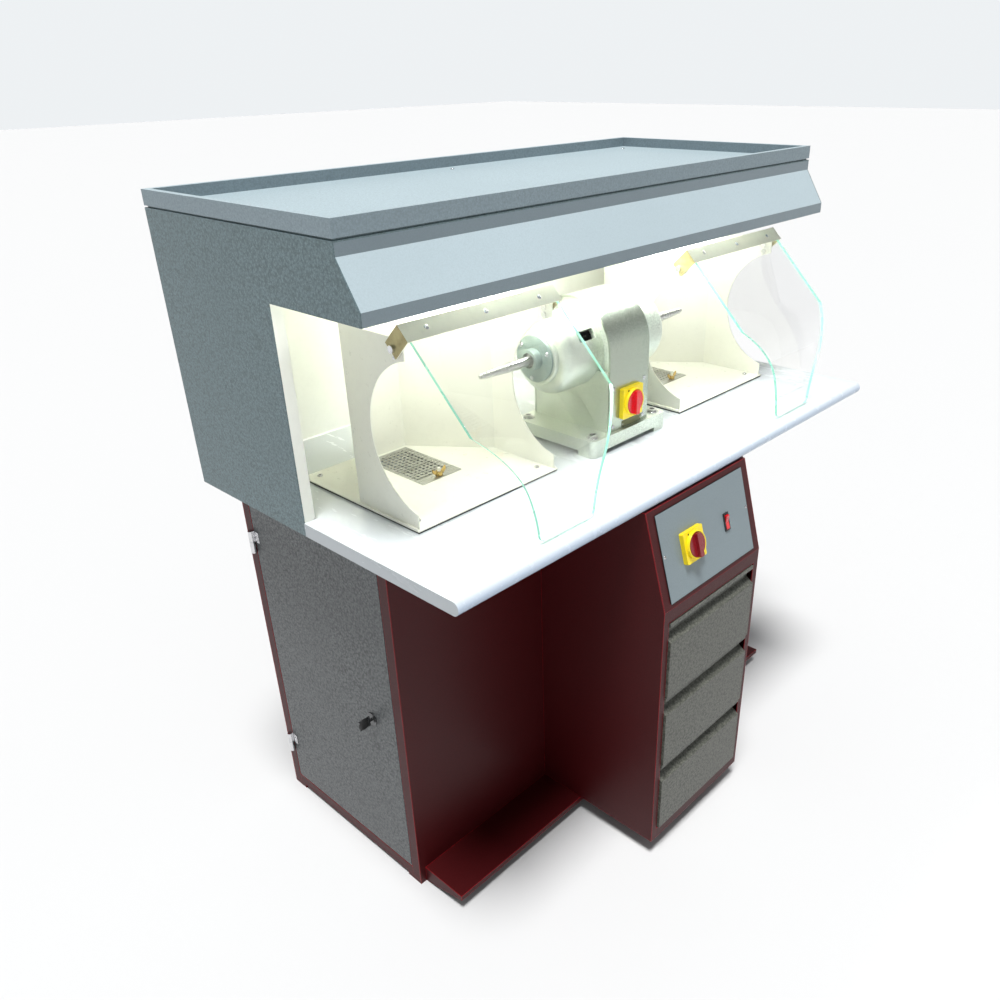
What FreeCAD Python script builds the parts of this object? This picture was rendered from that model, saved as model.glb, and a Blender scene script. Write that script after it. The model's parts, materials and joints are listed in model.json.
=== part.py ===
import FreeCAD, Part
import math
import os

import Sketcher

# Polishing bench with a double-ended lathe. The driving sizes are kept in the sheet called Sizes, in
# millimetres and degrees. X runs to the operator's right, the front faces minus Y, Z is up, and the
# origin is the middle of the footprint on the floor.

doc = FreeCAD.newDocument("polishing_bench")
sheet = doc.addObject("Spreadsheet::Sheet", "Sizes")
vector = FreeCAD.Vector
sheet_rows = []
nodes = []


class Size:
    """A length or an angle that knows its value and the sheet expression it comes from."""

    def __init__(self, value, text):
        self.value = value
        self.text = text

    def __add__(self, other):
        return joined(self, "+", other)

    def __radd__(self, other):
        return joined(other, "+", self)

    def __sub__(self, other):
        return joined(self, "-", other)

    def __rsub__(self, other):
        return joined(other, "-", self)

    def __mul__(self, other):
        return joined(self, "*", other)

    def __rmul__(self, other):
        return joined(other, "*", self)

    def __truediv__(self, other):
        return joined(self, "/", other)

    def __neg__(self):
        return Size(-self.value, f"(-{self.text})")


def as_size(item):
    """A plain number becomes a Size of the same value."""
    return item if isinstance(item, Size) else Size(float(item), str(item))


def joined(first, sign, second):
    """The sum, difference, product or quotient of two sizes."""
    one = as_size(first)
    two = as_size(second)
    text = f"({one.text} {sign} {two.text})"
    if sign == "+":
        return Size(one.value + two.value, text)
    if sign == "-":
        return Size(one.value - two.value, text)
    if sign == "*":
        return Size(one.value * two.value, text)
    return Size(one.value / two.value, text)


def named(alias, value):
    """Puts a size in the sheet under its alias."""
    sheet_rows.append(alias)
    cell = f"B{len(sheet_rows)}"
    sheet.set(f"A{len(sheet_rows)}", alias)
    if isinstance(value, Size):
        sheet.set(cell, "=" + value.text.replace("Sizes.", ""))
    else:
        sheet.set(cell, str(value))
    sheet.setAlias(cell, alias)
    sheet.recompute()
    return Size(as_size(value).value, "Sizes." + alias)


def sine(angle):
    """Sine of an angle in degrees."""
    return Size(math.sin(math.radians(angle.value)), f"sin({angle.text})")


def cosine(angle):
    """Cosine of an angle in degrees."""
    return Size(math.cos(math.radians(angle.value)), f"cos({angle.text})")


def root(size):
    """Square root of a size."""
    return Size(math.sqrt(size.value), f"sqrt({size.text})")


def slope_angle(rise, run):
    """Angle in degrees whose tangent is rise over run."""
    return Size(math.degrees(math.atan2(rise.value, run.value)), f"atan({rise.text} / {run.text})")


def bind(item, prop, size):
    """Sets a property and ties it to the sheet."""
    if isinstance(size, Size):
        item.setExpression(prop, size.text)
    elif "." not in prop:
        setattr(item, prop, size)


def moved(item, place, axis=None, angle=None):
    """The item as it stands, carried to a place and turned about one axis."""
    seat = doc.addObject("Part::Compound", item.Name + "_seat")
    seat.Links = [item]
    return move(seat, place, axis, angle)


def move(item, place, axis=None, angle=None):
    """Puts an item at a place, turned about one axis."""
    if axis is not None:
        item.Placement = FreeCAD.Placement(vector(0, 0, 0), FreeCAD.Rotation(axis, as_size(angle).value))
        if isinstance(angle, Size):
            item.setExpression("Placement.Rotation.Angle", angle.text)
    for letter, size in zip("xyz", place):
        bind(item, "Placement.Base." + letter, size)
    return item


def box(name, across, along, high):
    """Block between two planes on each axis."""
    item = doc.addObject("Part::Box", name)
    for prop, span in zip(("Length", "Width", "Height"), (across, along, high)):
        bind(item, prop, as_size(span[1] - span[0]))
    return move(item, (across[0], along[0], high[0]))

X_WAY = vector(1, 0, 0)
Y_WAY = vector(0, 1, 0)
Z_WAY = vector(0, 0, 1)


def rod(name, axis, centre, radius, span):
    """Round bar along an axis; centre is given on the two other axes."""
    item = doc.addObject("Part::Cylinder", name)
    bind(item, "Radius", as_size(radius))
    bind(item, "Height", as_size(span[1] - span[0]))
    if axis == "X":
        item.Placement = FreeCAD.Placement(vector(0, 0, 0), FreeCAD.Rotation(Z_WAY, X_WAY))
        return move(item, (span[0], centre[0], centre[1]))
    if axis == "Y":
        item.Placement = FreeCAD.Placement(vector(0, 0, 0), FreeCAD.Rotation(Z_WAY, Y_WAY))
        return move(item, (centre[0], span[0], centre[1]))
    return move(item, (centre[0], centre[1], span[0]))


def fuse(name, *items):
    """One solid from pieces that are made together."""
    item = doc.addObject("Part::MultiFuse", name)
    item.Shapes = list(items)
    item.Refine = True
    return item


def cut(name, base, *tools):
    """The base with the tools taken away."""
    tool = tools[0]
    if len(tools) > 1:
        tool = doc.addObject("Part::MultiFuse", name + "_tools")
        tool.Shapes = list(tools)
    item = doc.addObject("Part::Cut", name)
    item.Base = base
    item.Tool = tool
    item.Refine = True
    return item


def mirrored(name, source):
    """The same piece on the other side of the bench."""
    item = doc.addObject("Part::Mirroring", name)
    item.Source = source
    item.Normal = X_WAY
    item.Base = vector(0, 0, 0)
    return item


def group(name, *items):
    """Loose pieces of one kind kept in one file."""
    item = doc.addObject("Part::Compound", name)
    item.Links = list(items)
    return item


def draw(sketch, points, arcs):
    """Closed outline through points; arcs gives the radius of curved edges and the side of their centre."""
    ends = []
    count = len(points)
    flat = [(as_size(first).value, as_size(second).value) for first, second in points]
    for index in range(count):
        start = flat[index]
        stop = flat[(index + 1) % count]
        if index not in arcs:
            sketch.addGeometry(Part.LineSegment(vector(*start, 0), vector(*stop, 0)), False)
            ends.append((1, 2))
            continue
        radius, side = arcs[index]
        chord = math.dist(start, stop)
        away = side * math.sqrt(max(0, radius.value * radius.value - chord * chord / 4))
        middle_x = (start[0] + stop[0]) / 2 - (stop[1] - start[1]) / chord * away
        middle_y = (start[1] + stop[1]) / 2 + (stop[0] - start[0]) / chord * away
        one = math.atan2(start[1] - middle_y, start[0] - middle_x)
        two = math.atan2(stop[1] - middle_y, stop[0] - middle_x)
        if side < 0:
            one, two = two, one
        circle = Part.Circle(vector(middle_x, middle_y, 0), Z_WAY, radius.value)
        sketch.addGeometry(Part.ArcOfCircle(circle, one, two), False)
        ends.append((1, 2) if side > 0 else (2, 1))
    for index in range(count):
        after = (index + 1) % count
        sketch.addConstraint(
            Sketcher.Constraint("Coincident", index, ends[index][1], after, ends[after][0]),
        )
    for index, pair in enumerate(points):
        for kind, size in zip(("DistanceX", "DistanceY"), pair):
            value = as_size(size).value
            row = sketch.addConstraint(Sketcher.Constraint(kind, -1, 1, index, ends[index][0], value))
            if isinstance(size, Size):
                sketch.setExpression(f"Constraints[{row}]", size.text)
    for index, arc in arcs.items():
        row = sketch.addConstraint(Sketcher.Constraint("Radius", index, arc[0].value))
        sketch.setExpression(f"Constraints[{row}]", arc[0].text)


def origin_piece(body, role):
    """A plane or axis of the body's own origin."""
    return next(item for item in body.Origin.OriginFeatures if item.Role == role)


def outline(body, name, role, start, points, arcs=None):
    """Sketch on one of the body's origin planes, lifted along its normal."""
    sketch = body.newObject("Sketcher::SketchObject", name)
    sketch.AttachmentSupport = [(origin_piece(body, role), "")]
    sketch.MapMode = "FlatFace"
    bind(sketch, "AttachmentOffset.Base.z", start)
    draw(sketch, points, arcs or {})
    return sketch

PLANES = {"X": "YZ_Plane", "Y": "XZ_Plane", "Z": "XY_Plane"}


def prism(name, axis, points, span, arcs=None):
    """Outline padded along an axis. Outlines are drawn as (Y, Z), (X, Z) or (X, Y)."""
    body = doc.addObject("PartDesign::Body", name)
    start = -span[1] if axis == "Y" else span[0]
    sketch = outline(body, name + "_outline", PLANES[axis], start, points, arcs)
    pad = body.newObject("PartDesign::Pad", name + "_pad")
    pad.Profile = sketch
    bind(pad, "Length", as_size(span[1] - span[0]))
    return body


def turned(name, points, arcs=None):
    """Round piece: the outline of (distance along the axis, radius) turned about X."""
    body = doc.addObject("PartDesign::Body", name)
    sketch = outline(body, name + "_outline", "XY_Plane", 0, points, arcs)
    spin = body.newObject("PartDesign::Revolution", name + "_turn")
    spin.Profile = sketch
    spin.ReferenceAxis = (origin_piece(body, "X_Axis"), [""])
    spin.Angle = 360
    return body


def rounded(across, along, radius):
    """Rectangle with rounded corners as points and arcs."""
    points = [
        (across[0] + radius, along[0]),
        (across[1] - radius, along[0]),
        (across[1], along[0] + radius),
        (across[1], along[1] - radius),
        (across[1] - radius, along[1]),
        (across[0] + radius, along[1]),
        (across[0], along[1] - radius),
        (across[0], along[0] + radius),
    ]
    return points, {1: (radius, 1), 3: (radius, 1), 5: (radius, 1), 7: (radius, 1)}


def part(label, item):
    """Registers a sub-part under the name of its file."""
    item.Label = label
    nodes.append(item)
    return item


# Sizes in millimetres and angles in degrees, piece by piece

# Whole bench
overall_width = 1250
overall_depth = 765
overall_height = 1300
sheet_wall = 2
thin_wall = 1.5
seat_gap = 0.3
running_gap = 0.06
overrun = 6

# Worktop and the outline of the hood
worktop_height = 808
worktop_thickness = 24
worktop_depth = 708
side_wall = 22
hood_side_depth = 335
hood_opening_height = 359
tray_depth = 514
lip_reach = 42
lip_height = 20
rim_height = 25
rim_wall = 12
tray_drop = 20
seam_height = 3
seam_inset = 4
strip_height = 20

# Places of the two booths and of the air openings below them
booth_spacing = 719
booth_plate_setback = 200
air_hole_width = 76
air_hole_depth = 128
air_hole_setback = 152

# Lathe base on the worktop and its four bolts
lathe_setback = 181
lathe_base_width = 228
lathe_base_depth = 207
lathe_base_height = 34
lathe_foot_height = 9.5
bolt_inset = 20
bolt_radius = 5
bolt_head_radius = 9
bolt_head_height = 6
bolt_reach = 18

# Hood
ceiling_height = 428
neck_width = 20
lip_return = 18

# Tube lamp under the ceiling
lamp_length = 900
lamp_width = 46
lamp_body_height = 34
lamp_tube_radius = 13
lamp_setback = 22
lamp_socket = 18

# Lower cabinet
cabinet_width = 1130
cabinet_depth = 448
cabinet_rear_gap = 11.5
cabinet_foot_height = 10
cabinet_foot_width = 40
door_post = 26
door_sill = 25
door_head = 39
door_thickness = 20
door_gap = 2
door_stop = 20
chest_end = 60
chest_margin = 12
chest_height = 120

# Exhaust louvres in the rear sheet
fan_x = 150
fan_width = 110
fan_setback = 219
fan_wall = 2
volute_start = 118
volute_growth = 10
outlet_height = 100
gland_radius = 8
gland_x = 440
gland_height = 120
gland_length = 9
gland_flange = 11
gland_bore = 5

# Foot plate along the cabinet front
foot_plate_width = 1102
foot_plate_depth = 108
foot_plate_height = 37.5
foot_plate_wall = 3
foot_lip = 12

# Pedestal
pedestal_offset = 32
pedestal_width = 322
pedestal_setback = 52
knee_height = 602
drawer_proud = 5
drawer_pitch = 169
drawer_lift = 29.5
drawer_width = 284
drawer_seam = 3
shelf_drop = 20

# Sloping panel frame
panel_width = 278
panel_length = 168
panel_start = 9
panel_window_margin = 12

# Control panel with the openings for the two switches
switch_plate_size = 60
switch_plate_thickness = 9.5
switch_plate_corner = 3
switch_body_size = 44
switch_body_depth = 48
main_switch_x = -55
rocker_x = 63
rocker_width = 16
rocker_height = 35
rocker_rim = 2
rocker_depth = 18
rocker_frame_proud = 2.5

# Rotary switches
knob_radius = 23
knob_skirt = 5
knob_height = 12
knob_grip = 11
knob_shaft = 4
knob_reach = 5
plate_inner_ring = 25
plate_ring_height = 1

# Rocker switch
rocker_wall = 1
rocker_play = 1
rocker_tilt = 8
rocker_pivot = 3
rocker_pin = 1.2
rocker_crown = 3

# Drawers
front_face_height = 127
front_lip_height = 8
front_lip_setback = 3
front_depth = 22
groove_depth = 16
groove_rise = 10
front_nose = 3
front_return = 30
tray_half = 126
drawer_tray_depth = 268
drawer_tray_height = 112
drawer_tray_lift = 8
bar_width = 14
bar_half = 8
bar_lift = 70
runner_depth = 12
runner_side_gap = 1
runner_front_gap = 2
runner_post = 30

# Booths
mat_thickness = 3
mat_inset = 1
booth_plate_width = 332
booth_plate_depth = 325
booth_plate_thickness = 2
booth_width = 323
booth_setback = 4.5
booth_height = 308
wing_depth = 154
booth_depth = 297
booth_back_width = 109
wing_cut_radius = 128.5
wing_cut_reach = 29.5
wing_cut_height = 151
grid_width = 92
grid_depth = 160
grid_thickness = 1.5
grid_setback = 130
grid_hole = 5.2
grid_margin_front = 22
grid_margin_side = 5
grid_margin_rear = 10
stud_radius = 3
stud_height = 16
stud_setback = 9
pivot_setback = 19
pivot_drop = 16
pivot_radius = 3
pivot_head_radius = 6
pivot_head = 4
pivot_washer = 1.5
cheek_wall = 2
shield_tilt = 45
cheek_front = 15
cheek_rear = 16
cheek_low = 6
stop_radius = 2.5
stop_run = 10
web_offset = 36

# Wing nuts that hold the grids down
nut_radius = 6.5
nut_height = 8
wing_reach = 15
wing_height = 15
wing_thickness = 3

# Shields
glass_thickness = 5
glass_width = 314
glass_clamp = 12
glass_straight = 182
glass_bend = 140
glass_leg = 91
tongue_width = 132
tongue_curve = 305
tongue_corner = 12

# Lathe
lathe_axis_height = 186
lathe_base_corner = 12
lathe_foot = 38
column_width = 120
column_wall = 12
column_drop = 34
cover_overhang = 9
cover_radius = 95
cover_wall = 3
bead_width = 6
bead_proud = 1.5
barrel_radius = 73
barrel_half = 122
barrel_bore = 64
slot_width = 44
slot_height = 20
slot_inset = 11
slot_angle = 32
switch_boss_radius = 15
switch_boss_reach = 26
lathe_switch_x = 2
lathe_switch_height = 85

# End bells with a spigot in the barrel and a seat for the bearing; flanges with a hub ring
spigot_length = 9
spigot_wall = 6
bell_end = 148
bell_end_radius = 52
bell_curve = 25
bell_wall = 14
neck_end = 157
neck_radius = 49
neck_round = 3
flange_end = 162
flange_radius = 43
hub_end = 178
hub_radius = 20
hub_bore = 14
bearing_radius = 26
bearing_width = 15
bearing_end = 154
shoulder_radius = 20
shaft_radius = 12.5

# Stator ring in the barrel; rotor and spindle in one piece
stator_half = 60
stator_bore = 40.6
rotor_half = 56
rotor_radius = 40
spindle_step = 172
spindle_collar = 9.5
spindle_taper = 8.5
spindle_root = 9
spindle_root_end = 219
spindle_tip = 299
spindle_tip_radius = 3.5
spindle_chamfer = 1.2

# Door in the left side of the cabinet
hinge_radius = 5.5
hinge_offset = 6
hinge_setback = 3
hinge_length = 48
hinge_low = 75
hinge_high = 586
hinge_pin = 2
leaf_wall = 2
leaf_width = 20
leaf_back = 2
lock_setback = 69.5
lock_height = 342
lock_radius = 11
lock_collar = 14
lock_plug = 7
cam_reach = 60
cam_half = 8
cam_wall = 3
key_width = 20
key_length = 24
key_wall = 4
key_stem = 3
key_stem_reach = 5

# Air chest under the worktop
collar_radius = 80
collar_length = 30
bag_x = -250
bag_radius = 125
bag_wall = 2
bag_length = 390
bag_drop = 24
inlet_radius = 72
impeller_radius = 100
impeller_inset = 12
impeller_wall = 2
impeller_shaft = 7
impeller_hub = 18
impeller_hub_length = 30
blade_depth = 26
blade_wall = 2
motor_radius = 55
motor_length = 130
motor_bore_depth = 60

# Every plain size goes in the sheet under its own name
for alias, size in list(globals().items()):
    if isinstance(size, (int, float)):
        globals()[alias] = named(alias, size)

# Whole bench
side = named("side", overall_width / 2)
rear = named("rear", overall_depth / 2)
front = named("front", -rear)

# Worktop and the outline of the hood
bench_top = worktop_height
bench_under = named("bench_under", worktop_height - worktop_thickness)
worktop_front = named("worktop_front", rear - worktop_depth)
nose_radius = named("nose_radius", worktop_thickness / 2)
hood_face = named("hood_face", rear - hood_side_depth)
tray_front = named("tray_front", rear - tray_depth)
lip_front = named("lip_front", tray_front - lip_reach)
lip_bottom = named("lip_bottom", worktop_height + hood_opening_height)
lip_top = named("lip_top", lip_bottom + lip_height)
seam_bottom = named("seam_bottom", overall_height - rim_height - seam_height)
strip_bottom = named("strip_bottom", seam_bottom - strip_height)

# Places of the two booths and of the air openings below them
booth_x = named("booth_x", booth_spacing / 2)
booth_plate_front = named("booth_plate_front", worktop_front + booth_plate_setback)
air_hole_front = named("air_hole_front", booth_plate_front + air_hole_setback)
air_hole_rear = named("air_hole_rear", air_hole_front + air_hole_depth)


def air_holes(name, span):
    """Two rectangular cutters on the air openings, one under each booth."""
    cutters = []
    for letter, place in (("left", -booth_x), ("right", booth_x)):
        across = (place - air_hole_width / 2, place + air_hole_width / 2)
        cutters.append(box(f"{name}_{letter}", across, (air_hole_front, air_hole_rear), span))
    return cutters


worktop_outline = [
    (worktop_front + nose_radius, bench_under),
    (hood_face, bench_under),
    (hood_face, bench_top),
    (worktop_front + nose_radius, bench_top),
    (worktop_front, bench_top - nose_radius),
]
worktop_nose = prism(
    "worktop_nose", "X", worktop_outline, (-side, side), {3: (nose_radius, 1), 4: (nose_radius, 1)}
)
worktop_rear = box(
    "worktop_rear", (-side + side_wall, side - side_wall),
    (hood_face, rear - side_wall), (bench_under, bench_top),
)
worktop_slab = fuse("worktop_slab", worktop_nose, worktop_rear)
worktop_cutters = air_holes("worktop_hole", (bench_under - overrun, bench_top + overrun))

# Lathe base on the worktop and its four bolts, which end inside the worktop
lathe_front = named("lathe_front", worktop_front + lathe_setback)
lathe_rear = named("lathe_rear", lathe_front + lathe_base_depth)
lathe_half = named("lathe_half", lathe_base_width / 2)
ledge = named("ledge", bench_top + lathe_base_height)


def bolt_rods(name, radius, span):
    """Four upright rods at the corners of the lathe base."""
    rods = []
    for letter_x, place_x in (("left", -lathe_half + bolt_inset), ("right", lathe_half - bolt_inset)):
        for letter_y, place_y in (("front", lathe_front + bolt_inset), ("rear", lathe_rear - bolt_inset)):
            rods.append(rod(f"{name}_{letter_x}_{letter_y}", "Z", (place_x, place_y), radius, span))
    return rods


bolt_holes = bolt_rods(
    "worktop_bolt_hole", bolt_radius + seat_gap, (bench_top - bolt_reach - seat_gap, bench_top + overrun)
)
part("worktop", cut("worktop_cut", worktop_slab, *worktop_cutters, *bolt_holes))

# Hood: two L-shaped side sheets, back sheet, cream lining, roof, top tray and folded fascia
hood_side_outline = [
    (hood_face, bench_under),
    (rear, bench_under),
    (rear, seam_bottom),
    (tray_front, seam_bottom),
    (tray_front, strip_bottom),
    (lip_front, lip_top),
    (lip_front, lip_bottom),
    (hood_face, lip_bottom),
]
hood_left = prism("hood_left", "X", hood_side_outline, (-side, -side + sheet_wall))
part("hood_side_left", hood_left)
part("hood_side_right", mirrored("hood_right", hood_left))
ceiling = named("ceiling", worktop_height + ceiling_height)
inner_side = named("inner_side", side - sheet_wall)
inner_rear = named("inner_rear", rear - sheet_wall)
part(
    "hood_back",
    box("hood_back_sheet", (-inner_side, inner_side), (inner_rear, rear), (bench_under, seam_bottom)),
)
lining_left = box(
    "lining_left", (-inner_side, -side + side_wall), (hood_face, inner_rear), (bench_under, ceiling)
)
lining_right = box(
    "lining_right", (side - side_wall, inner_side), (hood_face, inner_rear), (bench_under, ceiling)
)
lining_back = box(
    "lining_back", (-side + side_wall, side - side_wall),
    (rear - side_wall, inner_rear), (bench_under, ceiling),
)
part("hood_lining", fuse("hood_lining_fused", lining_left, lining_right, lining_back))
roof_front = named("roof_front", tray_front + sheet_wall)
part(
    "hood_ceiling",
    box(
        "ceiling_sheet", (-inner_side, inner_side),
        (roof_front, inner_rear), (ceiling, ceiling + sheet_wall),
    ),
)
roof_sheet = box(
    "roof_sheet", (-inner_side, inner_side), (tray_front, inner_rear),
    (seam_bottom - sheet_wall, seam_bottom),
)
neck_outer = box(
    "neck_outer",
    (-side + seam_inset, side - seam_inset),
    (tray_front + seam_inset, rear - seam_inset),
    (seam_bottom - sheet_wall, seam_bottom + seam_height),
)
neck_inner = box(
    "neck_inner",
    (-side + seam_inset + neck_width, side - seam_inset - neck_width),
    (tray_front + seam_inset + neck_width, rear - seam_inset - neck_width),
    (seam_bottom - sheet_wall - overrun, seam_bottom + seam_height + overrun),
)
neck_ring = cut("neck_ring", neck_outer, neck_inner)
part("hood_roof", fuse("hood_roof_fused", roof_sheet, neck_ring))
tray_block = box(
    "tray_block", (-side, side), (tray_front, rear), (overall_height - rim_height, overall_height)
)
tray_inside = ((-side + rim_wall, side - rim_wall), (tray_front + rim_wall, rear - rim_wall))
tray_floor = named("tray_floor", overall_height - tray_drop)
tray_above = box("tray_above", *tray_inside, (tray_floor, overall_height + overrun))
tray_below = box(
    "tray_below",
    (-side + seam_inset + neck_width, side - seam_inset - neck_width),
    (tray_front + seam_inset + neck_width, rear - seam_inset - neck_width),
    (overall_height - rim_height - overrun, tray_floor - sheet_wall),
)
part("hood_tray", cut("hood_tray_cut", tray_block, tray_above, tray_below))
fascia_outline = [
    (tray_front, seam_bottom - sheet_wall),
    (tray_front, strip_bottom),
    (lip_front, lip_top),
    (lip_front, lip_bottom),
    (lip_front + lip_return, lip_bottom),
    (lip_front + lip_return, lip_bottom + sheet_wall),
    (lip_front + sheet_wall, lip_bottom + sheet_wall),
    (lip_front + sheet_wall, lip_top),
    (tray_front + sheet_wall, strip_bottom),
    (tray_front + sheet_wall, seam_bottom - sheet_wall),
]
part("hood_fascia", prism("fascia", "X", fascia_outline, (-inner_side, inner_side)))

# Tube lamp under the ceiling, hidden from the front by the fascia
lamp_front = named("lamp_front", tray_front + lamp_setback)
lamp_under = named("lamp_under", ceiling - lamp_body_height)
lamp_tube_z = named("lamp_tube_z", lamp_under - lamp_tube_radius - seam_height)
lamp_y = named("lamp_y", lamp_front + lamp_width / 2)
lamp_rail = box(
    "lamp_rail", (-lamp_length / 2, lamp_length / 2),
    (lamp_front, lamp_front + lamp_width), (lamp_under, ceiling),
)
socket_span = (lamp_tube_z - lamp_tube_radius, lamp_under)
socket_along = (lamp_y - lamp_tube_radius, lamp_y + lamp_tube_radius)
socket_left = box(
    "socket_left", (-lamp_length / 2, -lamp_length / 2 + lamp_socket), socket_along, socket_span
)
socket_right = box(
    "socket_right", (lamp_length / 2 - lamp_socket, lamp_length / 2), socket_along, socket_span
)
lamp_room = box(
    "lamp_room",
    (-lamp_length / 2 + lamp_socket, lamp_length / 2 - lamp_socket),
    (lamp_front + thin_wall, lamp_front + lamp_width - thin_wall),
    (lamp_under + thin_wall, ceiling + overrun),
)
part(
    "lamp_body",
    cut("lamp_body_cut", fuse("lamp_body_fused", lamp_rail, socket_left, socket_right), lamp_room),
)
tube_reach = named("tube_reach", lamp_length / 2 - lamp_socket)
tube_outer = rod("tube_outer", "X", (lamp_y, lamp_tube_z), lamp_tube_radius, (-tube_reach, tube_reach))
tube_inner = rod(
    "tube_inner", "X", (lamp_y, lamp_tube_z), lamp_tube_radius - thin_wall,
    (-tube_reach - overrun, tube_reach + overrun),
)
part("lamp_tube", cut("tube_cut", tube_outer, tube_inner))

# Lower cabinet
cab_side = named("cab_side", cabinet_width / 2)
cab_rear = named("cab_rear", rear - cabinet_rear_gap)
cab_front = named("cab_front", cab_rear - cabinet_depth)
door_front = named("door_front", cab_front + door_post)
door_rear = named("door_rear", cab_rear - door_post)
door_bottom = named("door_bottom", cabinet_foot_height + door_sill)
door_top = named("door_top", bench_under - door_head)
chest_x = named("chest_x", booth_x + chest_end)
chest_front = named("chest_front", air_hole_front - chest_margin)
chest_rear = named("chest_rear", air_hole_rear + chest_margin)
chest_bottom = named("chest_bottom", bench_under - chest_height)


def border(name, axis, span, outer, inner):
    """Four flat strips round a rectangular way that runs along an axis."""
    (left, right), (low, high) = inner
    strips = {
        "left": ((outer[0][0], left), outer[1]),
        "right": ((right, outer[0][1]), outer[1]),
        "low": (inner[0], (outer[1][0], low)),
        "high": (inner[0], (high, outer[1][1])),
    }
    pieces = []
    for place, (first, second) in strips.items():
        spans = (span, first, second) if axis == "X" else (first, span, second)
        pieces.append(box(f"{name}_{place}", *spans))
    return pieces


back_start = named("back_start", cab_rear - sheet_wall)
cabinet_along = (cab_front + sheet_wall, back_start)
cabinet_high = (cabinet_foot_height, bench_under)
cabinet_across = (-cab_side + sheet_wall, cab_side - sheet_wall)
cabinet_front_sheet = box(
    "cabinet_front_sheet", (-cab_side, cab_side), (cab_front, cab_front + sheet_wall), cabinet_high
)
cabinet_right_sheet = box(
    "cabinet_right_sheet", (cab_side - sheet_wall, cab_side), cabinet_along, cabinet_high
)
cabinet_floor_sheet = box(
    "cabinet_floor_sheet", cabinet_across, cabinet_along,
    (cabinet_foot_height, cabinet_foot_height + sheet_wall),
)
cabinet_top_sheet = box(
    "cabinet_top_sheet", cabinet_across, cabinet_along, (bench_under - sheet_wall, bench_under)
)
chest_hole = box(
    "chest_hole",
    (-chest_x - seat_gap, chest_x + seat_gap),
    (chest_front - seat_gap, chest_rear + seat_gap),
    (bench_under - sheet_wall - overrun, bench_under + overrun),
)
cabinet_top_open = cut("cabinet_top_open", cabinet_top_sheet, chest_hole)

# Left side with its doorway: sheet, frame set back into the cabinet and stop flange behind the door
door_frame_back = named("door_frame_back", -cab_side + door_thickness + sheet_wall + sheet_wall)
doorway_along = (door_front - door_gap, door_rear + door_gap)
doorway_high = (door_bottom - door_gap, door_top + door_gap)
frame_along = (doorway_along[0] - sheet_wall, doorway_along[1] + sheet_wall)
frame_high = (doorway_high[0] - sheet_wall, doorway_high[1] + sheet_wall)
stop_along = (door_front + door_stop, door_rear - door_stop)
stop_high = (door_bottom + door_stop, door_top - door_stop)
cabinet_left_strips = border(
    "cabinet_left", "X", (-cab_side, -cab_side + sheet_wall), (cabinet_along, cabinet_high),
    (doorway_along, doorway_high),
)
door_frame_strips = border(
    "door_frame", "X", (-cab_side + sheet_wall, door_frame_back - sheet_wall), (frame_along, frame_high),
    (doorway_along, doorway_high),
)
door_stop_strips = border(
    "door_stop", "X", (door_frame_back - sheet_wall, door_frame_back), (frame_along, frame_high),
    (stop_along, stop_high),
)

# Exhaust louvres in the rear sheet, level with the fan outlet
volute_end = named("volute_end", volute_start + 3 * volute_growth)
fan_y = named("fan_y", cab_rear - sheet_wall - fan_setback)
outlet_bottom = named("outlet_bottom", cabinet_foot_height + sheet_wall)
fan_z = named("fan_z", outlet_bottom + volute_end)
louvre_count = 5
louvre_share = 0.5
louvre_cutters = []
louvre_pitch = named("louvre_pitch", (outlet_height - fan_wall - fan_wall) / louvre_count)
for index in range(louvre_count):
    louvre_low = outlet_bottom + fan_wall + louvre_pitch * index + louvre_pitch * louvre_share / 2
    louvre_cutters.append(
        box(
            f"louvre_{index}",
            (fan_x + fan_wall, fan_x + fan_width - fan_wall),
            (back_start - overrun, cab_rear + overrun),
            (louvre_low, louvre_low + louvre_pitch * louvre_share),
        )
    )
gland_hole = rod(
    "gland_hole", "Y", (gland_x, gland_height), gland_radius + seat_gap,
    (cab_rear - sheet_wall - overrun, cab_rear + overrun),
)
cabinet_back_sheet = box(
    "cabinet_back_sheet", (-cab_side, cab_side), (back_start, cab_rear), cabinet_high,
)
part("cabinet_back", cut("cabinet_back_open", cabinet_back_sheet, gland_hole, *louvre_cutters))
cabinet_feet = []
for letter, across in (
    ("a", (-cab_side, -cab_side + cabinet_foot_width)),
    ("b", (cab_side - cabinet_foot_width, cab_side)),
):
    for number, along in (
        ("front", (cab_front, cab_front + cabinet_foot_width)),
        ("rear", (cab_rear - cabinet_foot_width, cab_rear)),
    ):
        cabinet_feet.append(box(f"foot_{number}_{letter}", across, along, (0, cabinet_foot_height)))
part(
    "cabinet_shell",
    group(
        "cabinet_sheets", cabinet_front_sheet, cabinet_right_sheet, cabinet_floor_sheet, cabinet_top_open,
        *cabinet_left_strips, *door_frame_strips, *door_stop_strips, *cabinet_feet,
    ),
)
gland_outline = [
    (-gland_length - sheet_wall, gland_bore),
    (gland_length, gland_bore),
    (gland_length, gland_radius),
    (gland_length / 2, gland_flange),
    (0, gland_flange),
    (0, gland_radius),
    (-sheet_wall, gland_radius),
    (-sheet_wall, gland_flange),
    (-gland_length - sheet_wall, gland_flange),
]
gland = turned("gland", gland_outline)
gland.Placement = FreeCAD.Placement(vector(0, 0, 0), FreeCAD.Rotation(X_WAY, Y_WAY))
part("cable_gland", move(gland, (gland_x, cab_rear, gland_height)))

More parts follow.
